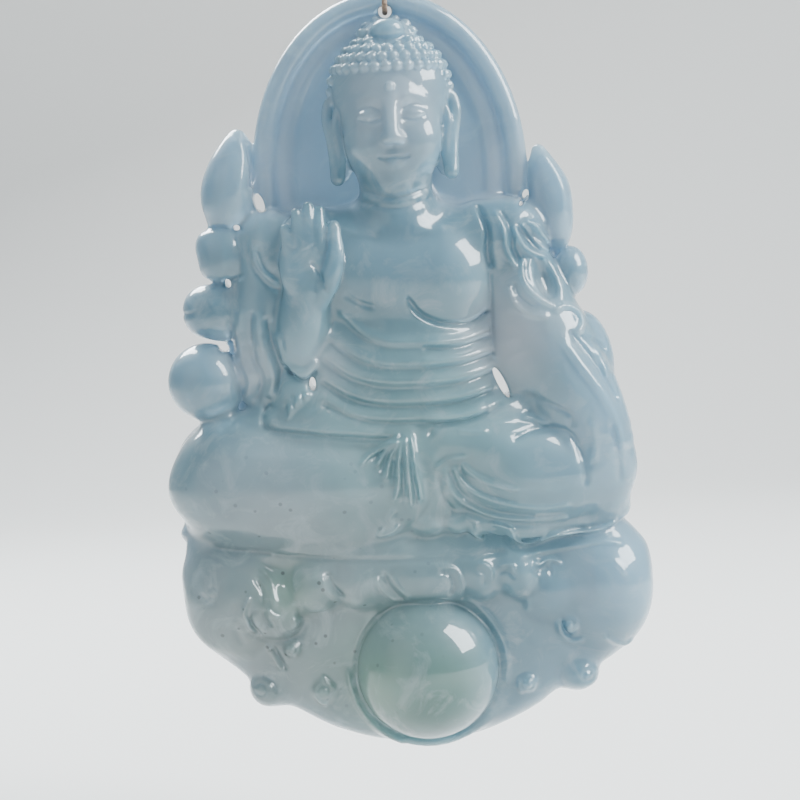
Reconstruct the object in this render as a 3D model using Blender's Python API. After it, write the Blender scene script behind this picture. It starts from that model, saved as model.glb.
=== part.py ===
"""Carved jade pendant figure on its hanging thread.

A seated figure with a round halo, on a lotus throne that holds a large pearl. The stone is one piece of
jadeite, about 43 mm wide, 69 mm tall and 11 mm thick, with a flat polished back and a drilled hole at the
top. A thin thread passes through the hole, and its two ends are tied in a knot above.

The carving is laid out in millimetres as (x, z, d): x to the right as seen from the front, z up from the
middle of the stone, and d the height above the flat back. at() turns that into Blender's metres, with the
origin at the knot and the front facing -Y.
"""

import math

import bmesh
import bpy
from mathutils import Matrix, Vector

MM = 0.001

# Driving dimensions, in millimetres
KNOT_Z = 50.0  # the knot's middle above the middle of the stone
LIP_DEPTH = 3.3  # thickness of the halo, at the lip over the drilled hole
HOLE_Z = 32.75
HOLE_RADIUS = 0.6
MOUTH_RADIUS = 1.0  # the hole's countersunk mouths
MOUTH_DEPTH = 0.45
THREAD_RADIUS = 0.25
THREAD_Z = 32.75
THREAD_GAP = 0.3
HALO_CENTRE = (-0.4, 18.5)
HALO_RADII = (12.4, 16.0)  # half its width, and its height above its centre
HALO_RIM_WIDTH = 1.8
HALO_FIELD_DEPTH = 2.5
HALO_FOOT_Z = 12.5  # the halo's straight sides end behind the shoulders
WEB_DEPTH = 3.0
BELOW_BACK = -1.0  # plates start below the flat back, which is cut at 0
PEARL_CENTRE = (0.3, -26.7)
PEARL_RADIUS = 6.55

# Mesh fineness
VOXEL = 0.36
KEPT_SHARE = 0.075  # of the remeshed faces

# The throne's outline, anticlockwise from its upper left corner, and the shelves it steps in by
THRONE_OUTLINE = [
    (-19.6, -14.0), (-20.9, -14.9), (-21.7, -17.2), (-21.3, -19.8), (-20.3, -22.3), (-19.0, -24.5),
    (-17.2, -26.1), (-16.1, -27.3), (-15.3, -28.9), (-13.9, -29.7), (-12.2, -30.0), (-10.0, -31.3),
    (-8.0, -32.3), (-5.0, -33.3), (-2.0, -33.8), (0.2, -34.1), (2.2, -33.8), (5.0, -33.3), (8.0, -32.2),
    (10.4, -31.0), (12.2, -29.8), (14.2, -29.8), (15.5, -29.0), (16.1, -27.8), (17.6, -26.8), (19.4, -25.3),
    (20.5, -23.0), (21.1, -20.0), (21.1, -17.4), (20.3, -15.8), (18.2, -14.0), (14.0, -13.5),
    (7.0, -13.4), (0.0, -13.4), (-7.0, -13.4), (-14.0, -13.5), (-17.8, -13.6),
]
THRONE_SHELVES = [(1.0, 3.6), (0.955, 4.6), (0.88, 5.3)]  # (share of the outline, height above the back)
THRONE_MIDDLE = (0.0, -21.0)

# The slab behind the legs, the arms and the side ornaments, anticlockwise from the left of the halo
WEB_OUTLINE = [
    (-12.0, 15.6), (-14.2, 15.6), (-15.2, 13.4), (-16.4, 10.4), (-16.6, 5.2), (-16.8, 1.0), (-18.2, -2.6),
    (-20.5, -4.9), (-21.5, -7.0), (-21.8, -9.8), (-21.2, -12.2), (-19.2, -15.2), (-9.0, -16.6), (0.0, -16.6),
    (9.0, -16.6), (17.0, -15.6), (18.8, -12.4), (19.7, -9.4), (19.3, -6.4), (18.4, -3.2), (17.8, 0.6), (15.8, 4.4),
    (14.8, 8.2), (13.6, 12.0), (12.8, 14.8), (11.4, 15.2),
]

# Rounded masses: name, (x, z, d), (rx, rz, rd), tilt in degrees anticlockwise as seen from the front
MASSES = [
    ("skull", (0.0, 22.9, 4.5), (4.6, 6.0, 4.3), 0),
    ("hair", (0.0, 25.6, 4.2), (5.3, 4.5, 4.2), 0),
    ("topknot", (0.0, 30.1, 3.6), (2.5, 2.4, 2.4), 0),
    ("chest", (-0.4, 9.0, 3.6), (8.6, 7.0, 4.6), 0),
    ("belly", (0.0, 1.0, 3.8), (7.6, 7.0, 4.7), 0),
    ("left_shoulder", (-11.2, 11.6, 3.2), (3.7, 3.8, 3.2), 0),
    ("left_sleeve", (-12.9, 4.6, 3.0), (2.9, 7.4, 2.9), 0),
    ("left_forearm", (-9.1, 5.0, 6.0), (2.6, 4.7, 2.5), 8),
    ("left_palm", (-8.1, 10.6, 7.6), (2.3, 2.9, 1.4), 0),
    ("right_shoulder", (10.2, 11.0, 3.6), (3.3, 4.6, 3.5), 20),
    ("sleeve_curl", (12.6, 9.4, 3.8), (2.0, 4.0, 2.2), 22),
    ("outer_drape", (16.3, 0.9, 2.9), (2.4, 4.0, 2.6), 14),
    ("left_knee", (-12.0, -9.3, 4.2), (10.0, 5.3, 5.6), 0),
    ("left_knee_top", (-15.4, -8.4, 3.8), (6.3, 5.8, 5.4), 0),
    ("right_knee", (10.4, -9.4, 4.2), (9.8, 5.2, 5.6), 0),
    ("lap", (0.0, -9.6, 4.2), (8.5, 5.2, 5.2), 0),
    ("throne_left", (-15.9, -19.9, 3.8), (5.6, 5.8, 4.0), -12),
    ("throne_right", (15.4, -19.9, 3.8), (5.6, 5.8, 4.0), 12),
    ("throne_middle", (0.0, -19.5, 3.8), (12.5, 4.8, 4.4), 0),
    ("left_foot_lobe", (-14.2, -27.6, 2.6), (2.0, 2.0, 2.2), 0),
    ("right_foot_lobe", (14.1, -27.7, 2.6), (2.0, 1.9, 2.2), 0),
    ("pearl", (*PEARL_CENTRE, 4.9), (PEARL_RADIUS, PEARL_RADIUS, 5.9), 0),
    ("nose", (0.0, 22.5, 8.6), (0.65, 1.7, 0.9), 0),
    ("lips", (0.0, 19.7, 7.9), (1.2, 0.5, 0.6), 0),
    ("left_petal", (-9.0, -18.0, 6.6), (3.0, 1.9, 2.0), -8),
    ("middle_petal", (0.6, -17.9, 7.0), (3.3, 2.3, 2.0), 0),
    ("right_petal", (9.2, -18.2, 6.6), (3.0, 1.9, 2.0), 8),
    ("left_volute", (-13.4, -20.2, 6.0), (2.8, 2.7, 2.2), 0),
    ("left_inner_curl", (-11.9, -24.2, 5.0), (1.5, 1.5, 1.3), 0),
    ("left_lower_curl", (-9.3, -28.6, 4.6), (1.6, 1.7, 1.3), 0),
    ("right_inner_curl", (13.2, -23.6, 5.0), (1.7, 1.8, 1.3), 0),
    ("right_lower_curl", (9.5, -28.4, 4.6), (1.6, 1.7, 1.3), 0),
    ("left_bud", (-14.7, 18.1, 3.0), (2.7, 4.8, 2.7), -8),
    ("left_upper_bead", (-15.9, 11.8, 3.0), (2.6, 2.8, 2.5), 0),
    ("left_lower_bead", (-17.2, 6.6, 3.0), (2.6, 2.6, 2.5), 0),
    ("left_pearl", (-18.1, 0.5, 3.8), (3.5, 3.5, 3.4), 0),
    ("right_bud", (13.9, 15.3, 2.8), (2.0, 4.9, 2.2), 8),
    ("right_pearl", (15.4, 8.6, 2.9), (1.5, 2.0, 1.9), 0),
]

# Limbs, fingers and ears: a list of (x, z, d, radius) along each
LIMBS = [
    [(0.0, 19.0, 4.0, 3.4), (0.0, 13.5, 3.8, 3.6)],  # neck
    [(-5.5, 24.6, 3.6, 0.8), (-5.7, 21.5, 3.8, 0.8), (-5.1, 18.2, 4.0, 0.9)],  # left ear
    [(5.5, 24.6, 3.6, 0.8), (5.7, 21.5, 3.8, 0.8), (5.1, 18.2, 4.0, 0.9)],  # right ear
    [(-9.9, 11.6, 7.4, 0.6), (-10.1, 13.8, 7.3, 0.5)],  # little finger
    [(-9.1, 12.0, 7.6, 0.65), (-9.2, 15.0, 7.4, 0.55)],
    [(-8.1, 12.0, 7.7, 0.7), (-8.0, 15.7, 7.5, 0.6)],
    [(-7.1, 12.0, 7.6, 0.65), (-6.9, 15.2, 7.4, 0.55)],
    [(-6.8, 8.4, 7.8, 0.9), (-5.6, 10.6, 7.8, 0.75), (-5.6, 13.3, 7.4, 0.5)],  # thumb
    [(10.6, 6.5, 4.2, 3.1), (13.0, 0.0, 4.6, 4.2), (15.6, -7.0, 4.4, 4.2)],  # right sleeve
    [(13.2, -3.8, 6.2, 1.8), (4.2, -4.6, 7.2, 1.3)],  # the robe's edge over the right thigh
    [(-11.4, -3.6, 6.0, 1.3), (-3.2, -4.6, 7.2, 1.3)],  # the robe's hem across the lap
    [(-4.6, -7.0, 8.3, 0.7), (-0.4, -9.0, 9.0, 0.7), (0.0, -13.0, 8.2, 0.8)],  # pleats between the knees
    [(-2.6, -5.4, 8.2, 0.6), (-1.6, -9.6, 9.0, 0.6)],
]

# Pierced gaps: (x, z), (half width, half height), tilt in degrees
GAPS = [
    ((-12.35, 16.2), (0.45, 0.8), 20),
    ((-14.5, 14.2), (0.35, 0.28), 0),
    ((-15.6, 9.2), (0.25, 0.42), 10),
    ((-16.5, 3.5), (0.4, 0.25), -30),
    ((-8.5, -0.2), (0.32, 0.6), 0),
    ((8.4, -1.05), (0.4, 1.45), 24),
    ((11.65, 15.5), (0.22, 0.42), -15),
]

# The knot, in millimetres from its own middle
KNOT_RADIUS = 1.0
KNOT_HALF_HEIGHT = 1.1
KNOT_TURNS = 3
KNOT_VOXEL = 0.12
KNOT_KEPT_SHARE = 0.14
TAIL_LENGTH = 2.6
TAIL_LEAN = 24  # degrees from upright

JADE = ((0.62, 0.72, 0.72), 0.12)
THREAD = ((0.42, 0.33, 0.26), 0.75)


def at(x, z, d):
    """A point of the carving's layout as a point in Blender's space."""
    return Vector((x, LIP_DEPTH / 2 - d, z - KNOT_Z)) * MM


def clear_scene():
    for obj in list(bpy.data.objects):
        bpy.data.objects.remove(obj)


def material(name, finish):
    colour, roughness = finish
    made = bpy.data.materials.new(name)
    made.use_nodes = True
    shader = made.node_tree.nodes["Principled BSDF"]
    shader.inputs["Base Color"].default_value = (*colour, 1)
    shader.inputs["Roughness"].default_value = roughness
    shader.inputs["Metallic"].default_value = 0
    return made


def link(name, data, finish=None):
    obj = bpy.data.objects.new(name, data)
    bpy.context.scene.collection.objects.link(obj)
    if finish:
        data.materials.append(finish)
    return obj


def mesh_from(bm, name):
    mesh = bpy.data.meshes.new(name)
    bm.to_mesh(mesh)
    bm.free()
    return mesh


def unit_ball(segments, rings):
    """Points and outward faces of a ball of radius 1."""
    points = [(0.0, 0.0, 1.0)]
    for ring in range(1, rings):
        down = math.pi * ring / rings
        for segment in range(segments):
            turn = 2 * math.pi * segment / segments
            points.append((math.sin(down) * math.cos(turn), math.sin(down) * math.sin(turn), math.cos(down)))
    points.append((0.0, 0.0, -1.0))
    last = len(points) - 1
    faces = []
    for segment in range(segments):
        beside = (segment + 1) % segments
        faces.append((0, 1 + segment, 1 + beside))
        faces.append((last, last - segments + beside, last - segments + segment))
        for ring in range(rings - 2):
            row = 1 + ring * segments
            faces.append((row + segment, row + segments + segment, row + segments + beside, row + beside))
    return points, faces


class Heap:
    """Closed shapes piled into one mesh, overlapping freely."""

    def __init__(self):
        self.points = []
        self.faces = []

    def add(self, points, faces):
        first = len(self.points)
        self.points.extend(points)
        self.faces.extend(tuple(first + corner for corner in face) for face in faces)

    def mesh(self, name):
        made = bpy.data.meshes.new(name)
        made.from_pydata(self.points, [], self.faces)
        return made


BALL = unit_ball(28, 18)
SMALL_BALL = unit_ball(16, 10)


def add_mass(heap, centre, radii, tilt, ball=BALL):
    """An ellipsoid at a layout point, turned about the line of sight."""
    rx, rz, rd = radii
    place = (
        Matrix.Translation(at(*centre))
        @ Matrix.Rotation(math.radians(-tilt), 4, "Y")
        @ Matrix.Diagonal((rx * MM, rd * MM, rz * MM, 1))
    )
    points, faces = ball
    heap.add([place @ Vector(point) for point in points], faces)


def add_plate(heap, outline, low, high):
    """A flat plate over an anticlockwise outline of (x, z) points, from one height above the back to another."""
    count = len(outline)
    points = [at(x, z, high) for x, z in outline] + [at(x, z, low) for x, z in outline]
    faces = [tuple(range(count)), tuple(range(2 * count - 1, count - 1, -1))]
    for i in range(count):
        j = (i + 1) % count
        faces.append((i, count + i, count + j, j))
    heap.add(points, faces)


def smooth_outline(points, per_side=5):
    """A closed Catmull-Rom curve through the points."""
    curve = []
    count = len(points)
    for i in range(count):
        a, b, c, d = (Vector(points[(i + k) % count]) for k in (-1, 0, 1, 2))
        for step in range(per_side):
            t = step / per_side
            curve.append(0.5 * (2 * b + (c - a) * t + (2 * a - 5 * b + 4 * c - d) * t * t
                                + (3 * b - a - 3 * c + d) * t ** 3))
    return [tuple(p) for p in curve]


def shrunk(outline, share, middle):
    """An outline drawn in towards a middle point."""
    return [tuple(m + (p - m) * share for p, m in zip(point, middle)) for point in outline]


def halo_point(shrink, degrees):
    """A point of the halo's ellipse, drawn in from its edge."""
    turn = math.radians(degrees)
    (cx, cz), (rx, rz) = HALO_CENTRE, HALO_RADII
    return (cx + (rx - shrink) * math.cos(turn), cz + (rz - shrink) * math.sin(turn))


def halo_outline(foot_z, steps=72):
    """The halo's edge over its top, with straight sides down to foot_z."""
    arc = [halo_point(0, 180 * i / steps) for i in range(steps + 1)]
    return [*arc, (arc[-1][0], foot_z), (arc[0][0], foot_z)]


def add_limb(heap, stations):
    """Round ended tube through the stations, as balls close together."""
    for (x0, z0, d0, r0), (x1, z1, d1, r1) in zip(stations, stations[1:]):
        length = math.dist((x0, z0, d0), (x1, z1, d1))
        count = max(2, math.ceil(length / (0.35 * min(r0, r1))))
        for i in range(count + 1):
            t = i / count
            centre = (x0 + (x1 - x0) * t, z0 + (z1 - z0) * t, d0 + (d1 - d0) * t)
            radius = r0 + (r1 - r0) * t
            add_mass(heap, centre, (radius, radius, radius), 0, SMALL_BALL)


def add_halo_rim(heap, steps=60):
    """The halo's raised rim, from one shoulder over the top to the other."""
    width = HALO_RIM_WIDTH / 2
    for i in range(steps + 1):
        x, z = halo_point(width, -10 + 200 * i / steps)
        add_mass(heap, (x, z, LIP_DEPTH - width * 0.9), (width, width, width * 0.9), 0, SMALL_BALL)


def carving_masses():
    """Every mass of the carving, piled into one mesh."""
    heap = Heap()
    add_plate(heap, halo_outline(HALO_FOOT_Z), BELOW_BACK, HALO_FIELD_DEPTH)
    add_halo_rim(heap)
    add_plate(heap, smooth_outline(WEB_OUTLINE), BELOW_BACK, WEB_DEPTH)
    for share, height in THRONE_SHELVES:
        shelf = shrunk(smooth_outline(THRONE_OUTLINE), share, THRONE_MIDDLE)
        add_plate(heap, shelf, BELOW_BACK, height)
    for _, centre, radii, tilt in MASSES:
        add_mass(heap, centre, radii, tilt)
    for stations in LIMBS:
        add_limb(heap, stations)
    return heap.mesh("jade_carving")


def cutter(name, mesh):
    obj = link(name, mesh)
    obj.hide_render = True
    obj.display_type = "WIRE"
    return obj


def back_cutter():
    """A block behind the flat back."""
    bm = bmesh.new()
    bmesh.ops.create_cube(bm, size=1, matrix=Matrix.Translation(at(0, 0, -5)) @ Matrix.Diagonal(
        (60 * MM, 10 * MM, 90 * MM, 1)))
    return cutter("back_plane", mesh_from(bm, "back_plane"))


def hole_profile():
    """Half of the drilled hole's section as (radius, d), from in front of the stone to behind it."""
    clear = 3.0
    return [
        (0.0, LIP_DEPTH + clear),
        (MOUTH_RADIUS + clear * 0.4, LIP_DEPTH + clear),
        (MOUTH_RADIUS, LIP_DEPTH),
        (HOLE_RADIUS, LIP_DEPTH - MOUTH_DEPTH),
        (HOLE_RADIUS, MOUTH_DEPTH),
        (MOUTH_RADIUS, 0.0),
        (MOUTH_RADIUS + clear * 0.4, -clear),
        (0.0, -clear),
    ]


def hole_cutter(sides=28):
    """The drilled hole with its two flared mouths, turned about the hole's own axis."""
    bm = bmesh.new()
    axis_start, axis_end = at(0, HOLE_Z, LIP_DEPTH), at(0, HOLE_Z, 0)
    profile = [bm.verts.new(at(radius, HOLE_Z, d)) for radius, d in hole_profile()]
    edges = [bm.edges.new(pair) for pair in zip(profile, profile[1:])]
    bmesh.ops.spin(bm, geom=profile + edges, cent=axis_start, axis=axis_end - axis_start,
                   angle=2 * math.pi, steps=sides, use_merge=True)
    bmesh.ops.remove_doubles(bm, verts=bm.verts, dist=0.005 * MM)
    bmesh.ops.recalc_face_normals(bm, faces=bm.faces)
    return cutter("thread_hole", mesh_from(bm, "thread_hole"))


def gap_cutters(sides=14):
    """All the pierced gaps, as separate upright prisms in one mesh."""
    bm = bmesh.new()
    for (x, z), (half_width, half_height), tilt in GAPS:
        place = (
            Matrix.Translation(at(x, z, 4))
            @ Matrix.Rotation(math.radians(-tilt), 4, "Y")
            @ Matrix.Diagonal((half_width * MM, 1, half_height * MM, 1))
            @ Matrix.Rotation(math.pi / 2, 4, "X")
        )
        bmesh.ops.create_cone(bm, cap_ends=True, segments=sides, radius1=1, radius2=1, depth=24 * MM, matrix=place)
    bmesh.ops.recalc_face_normals(bm, faces=bm.faces)
    return cutter("pierced_gaps", mesh_from(bm, "pierced_gaps"))


def build_carving(jade):
    stone = link("jade_carving", carving_masses(), jade)
    remesh = stone.modifiers.new("one_stone", "REMESH")
    remesh.mode = "VOXEL"
    remesh.voxel_size = VOXEL * MM
    smooth = stone.modifiers.new("polish", "SMOOTH")
    smooth.factor = 0.5
    smooth.iterations = 3
    fewer = stone.modifiers.new("fewer_faces", "DECIMATE")
    fewer.ratio = KEPT_SHARE
    for tool in (back_cutter(), hole_cutter(), gap_cutters()):
        cut = stone.modifiers.new(tool.name, "BOOLEAN")
        cut.operation = "DIFFERENCE"
        cut.object = tool
    return stone


def thread_route(steps=10):
    """The thread's middle line as (y, z) in the layout's millimetres, with y forwards from the lip's middle."""
    reach = LIP_DEPTH / 2 + THREAD_GAP + THREAD_RADIUS
    bend = 1.05
    knot_foot = KNOT_Z - KNOT_HALF_HEIGHT - THREAD_GAP
    half = [(0.0, THREAD_Z), (0.6, THREAD_Z)]
    for i in range(steps + 1):
        turn = math.pi / 2 * i / steps
        half.append((reach - bend + bend * math.sin(turn), THREAD_Z + bend - bend * math.cos(turn)))
    # Above the lip the strand leans inwards, gently at first, to the foot of the knot.
    start_z, knot_reach = THREAD_Z + bend, 0.5
    for i in range(1, steps + 1):
        t = i / steps
        half.append((reach + (knot_reach - reach) * (0.35 * t * t + 0.65 * t), start_z + (knot_foot - start_z) * t))
    return [(-y, z) for y, z in reversed(half[1:])] + half


def build_thread(thread):
    """The thread as a tube: up behind the stone, through its hole and up in front of it."""
    curve = bpy.data.curves.new("hanging_thread", "CURVE")
    curve.dimensions = "3D"
    curve.bevel_depth = THREAD_RADIUS * MM
    curve.bevel_resolution = 2
    curve.use_fill_caps = True
    route = thread_route()
    spline = curve.splines.new("POLY")
    spline.points.add(len(route) - 1)
    for point, (y, z) in zip(spline.points, route):
        point.co = (*at(0, z, LIP_DEPTH / 2 + y), 1)
    return link("hanging_thread", curve, thread)


def build_knot(thread):
    """The tied knot: three tight turns, with the thread's two cut ends standing out of its top."""
    heap = Heap()
    pitch = 2 * KNOT_HALF_HEIGHT / KNOT_TURNS
    for i in range(KNOT_TURNS):
        z = KNOT_Z - KNOT_HALF_HEIGHT + pitch * (i + 0.5)
        radius = KNOT_RADIUS if i == 1 else KNOT_RADIUS * 0.86
        add_mass(heap, (0, z, LIP_DEPTH / 2), (radius, pitch * 0.62, radius), 0)
    lean = math.tan(math.radians(TAIL_LEAN))
    for side in (1, -1):
        top = KNOT_Z + KNOT_HALF_HEIGHT + TAIL_LENGTH
        foot_d = LIP_DEPTH / 2 + side * 0.3
        tip_d = foot_d + side * lean * TAIL_LENGTH
        add_limb(heap, [(0, KNOT_Z, foot_d, THREAD_RADIUS), (0, top, tip_d, THREAD_RADIUS)])
    knot = link("thread_knot", heap.mesh("thread_knot"), thread)
    remesh = knot.modifiers.new("one_body", "REMESH")
    remesh.mode = "VOXEL"
    remesh.voxel_size = KNOT_VOXEL * MM
    fewer = knot.modifiers.new("fewer_faces", "DECIMATE")
    fewer.ratio = KNOT_KEPT_SHARE
    return knot


def main():
    clear_scene()
    jade = material("jade", JADE)
    thread = material("thread", THREAD)
    build_carving(jade)
    build_thread(thread)
    build_knot(thread)


main()
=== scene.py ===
"""The looks of the jade pendant: the finely carved stone, its thread and knot, and the studio.

The stone is sculpted as a solid in millimetres, in a layout of (x, z, d): x to the right as seen from the
front, z up from the stone's middle, and d the height above the flat back. Rounded masses, limbs and raised
pads are melted together into one block, lines are carved into it or raised on it, and the block's surface
becomes one mesh. row_point() turns the layout into the CAD frame's metres.
"""

import math

import bmesh
import bpy
import numpy as np
from mathutils import Matrix, Vector

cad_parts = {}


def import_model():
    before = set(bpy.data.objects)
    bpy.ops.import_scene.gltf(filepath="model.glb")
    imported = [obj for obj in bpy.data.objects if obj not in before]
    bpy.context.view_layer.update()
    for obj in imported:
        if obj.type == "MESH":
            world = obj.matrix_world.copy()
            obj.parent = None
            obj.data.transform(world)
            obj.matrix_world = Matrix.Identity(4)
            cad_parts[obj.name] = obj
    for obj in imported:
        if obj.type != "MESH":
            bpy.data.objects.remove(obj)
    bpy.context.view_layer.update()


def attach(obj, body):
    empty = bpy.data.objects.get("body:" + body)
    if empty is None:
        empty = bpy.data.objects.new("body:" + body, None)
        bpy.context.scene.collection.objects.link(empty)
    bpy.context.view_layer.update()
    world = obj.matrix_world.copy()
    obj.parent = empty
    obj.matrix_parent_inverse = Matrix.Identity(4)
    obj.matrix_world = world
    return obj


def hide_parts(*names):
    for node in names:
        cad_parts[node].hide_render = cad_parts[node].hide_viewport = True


MM = 0.001
FAR = 4.0  # distance given to points away from every shape
EVERYWHERE = 99.0  # past every side of the block
MARGIN = 1.0  # how far past a shape's own edge its distances are worked out
TINY = 1e-9  # keeps a division by no length finite
LEAST_SLOPE = 1e-6  # keeps a division by no slope finite

# Where the layout lies in the CAD frame
KNOT_Z = 50.0
LIP_DEPTH = 3.3

# Fineness of the sculpted block, and the share of its surface's faces that is kept
STEP = 0.14
KEPT_SHARE = 0.42
BLOCK_LOW = (-22.8, -35.0, -0.6)
BLOCK_HIGH = (22.2, 35.6, 11.6)
POLISH = 0.5  # strength of each round of smoothing
POLISH_ROUNDS = 2

# Carved lines, in shares of their own width, and the height above the back over which they grow
STROKE_REACH = 2.5
STROKE_FADE = 1.6
STROKE_END = 0.15  # share of a line's height that is left at its ends
RELIEF_FROM = 1.2

HOLE = (0.0, 32.75)
HOLE_RADIUS = 0.6
JEWEL = (0.1, 30.8)  # the smooth knob on the front of the hair bun
HALO_CENTRE = (-0.4, 18.5)
HALO_RADII = (12.4, 16.0)
PEARL = (0.3, -26.7)
PEARL_RADIUS = 6.55

# The hair's curls. Shares are of the hair's own radii.
CURL_PITCH = 0.98
CURL_RADIUS = 0.5
TEMPLE = 0.35  # how far forwards of the ears the hairline starts to dip
TEMPLE_STEP = 0.1
TEMPLE_DIP = 0.45
JEWEL_CLEAR, JEWEL_STRETCH = 1.5, 1.4  # the oval round the jewel that has no curls
HOLE_CLEAR = 1.2


# ---------------------------------------------------------------- sculpting in a block of distances


def catmull_rom(a, b, c, d, per_side):
    """Points from each b on towards its c, on the smooth curve through a, b, c and d."""
    t = (np.arange(per_side) / per_side)[:, None, None]
    curve = 0.5 * (2 * b + (c - a) * t + (2 * a - 5 * b + 4 * c - d) * t**2 + (d - a + 3 * b - 3 * c) * t**3)
    return curve.transpose(1, 0, 2).reshape(-1, b.shape[1])


def closed_curve(points, per_side=6):
    """A smooth curve through the points and back to the first."""
    p = np.array(points, float)
    return catmull_rom(np.roll(p, 1, 0), p, np.roll(p, -1, 0), np.roll(p, -2, 0), per_side)


def open_curve(points, per_side=6):
    """A smooth curve from the first point to the last."""
    p = np.array(points, float)
    if len(p) < 3:
        return p
    ends = np.vstack([2 * p[0] - p[1], p, 2 * p[-1] - p[-2]])
    return np.vstack([catmull_rom(ends[:-3], ends[1:-2], ends[2:-1], ends[3:], per_side), p[-1:]])


def to_segment(x, z, a, b):
    """Distance in the (x, z) plane to the line from a to b, and the share of the way along it."""
    (ax, az), (bx, bz) = a, b
    ex, ez = bx - ax, bz - az
    t = np.clip(((x - ax) * ex + (z - az) * ez) / max(ex * ex + ez * ez, TINY), 0, 1)
    return np.hypot(x - ax - t * ex, z - az - t * ez), t


def outline_distance(x, z, outline):
    """Distance in the (x, z) plane to a closed outline, negative inside it."""
    nearest = np.full(np.broadcast(x, z).shape, np.inf, np.float32)
    inside = np.zeros(nearest.shape, bool)
    for (ax, az), (bx, bz) in zip(outline, np.roll(outline, -1, 0)):
        nearest = np.minimum(nearest, to_segment(x, z, (ax, az), (bx, bz))[0])
        crosses = (az > z) != (bz > z)
        slope = (bx - ax) / (bz - az) if abs(bz - az) > TINY else 0.0
        inside ^= crosses & (x < ax + (z - az) * slope)
    return np.where(inside, -nearest, nearest)


def turned(x, z, centre, tilt):
    """Lengths from a centre along two axes that are tilted in degrees anticlockwise."""
    turn = math.radians(tilt)
    u = (x - centre[0]) * math.cos(turn) + (z - centre[1]) * math.sin(turn)
    v = (z - centre[1]) * math.cos(turn) - (x - centre[0]) * math.sin(turn)
    return u, v


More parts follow.
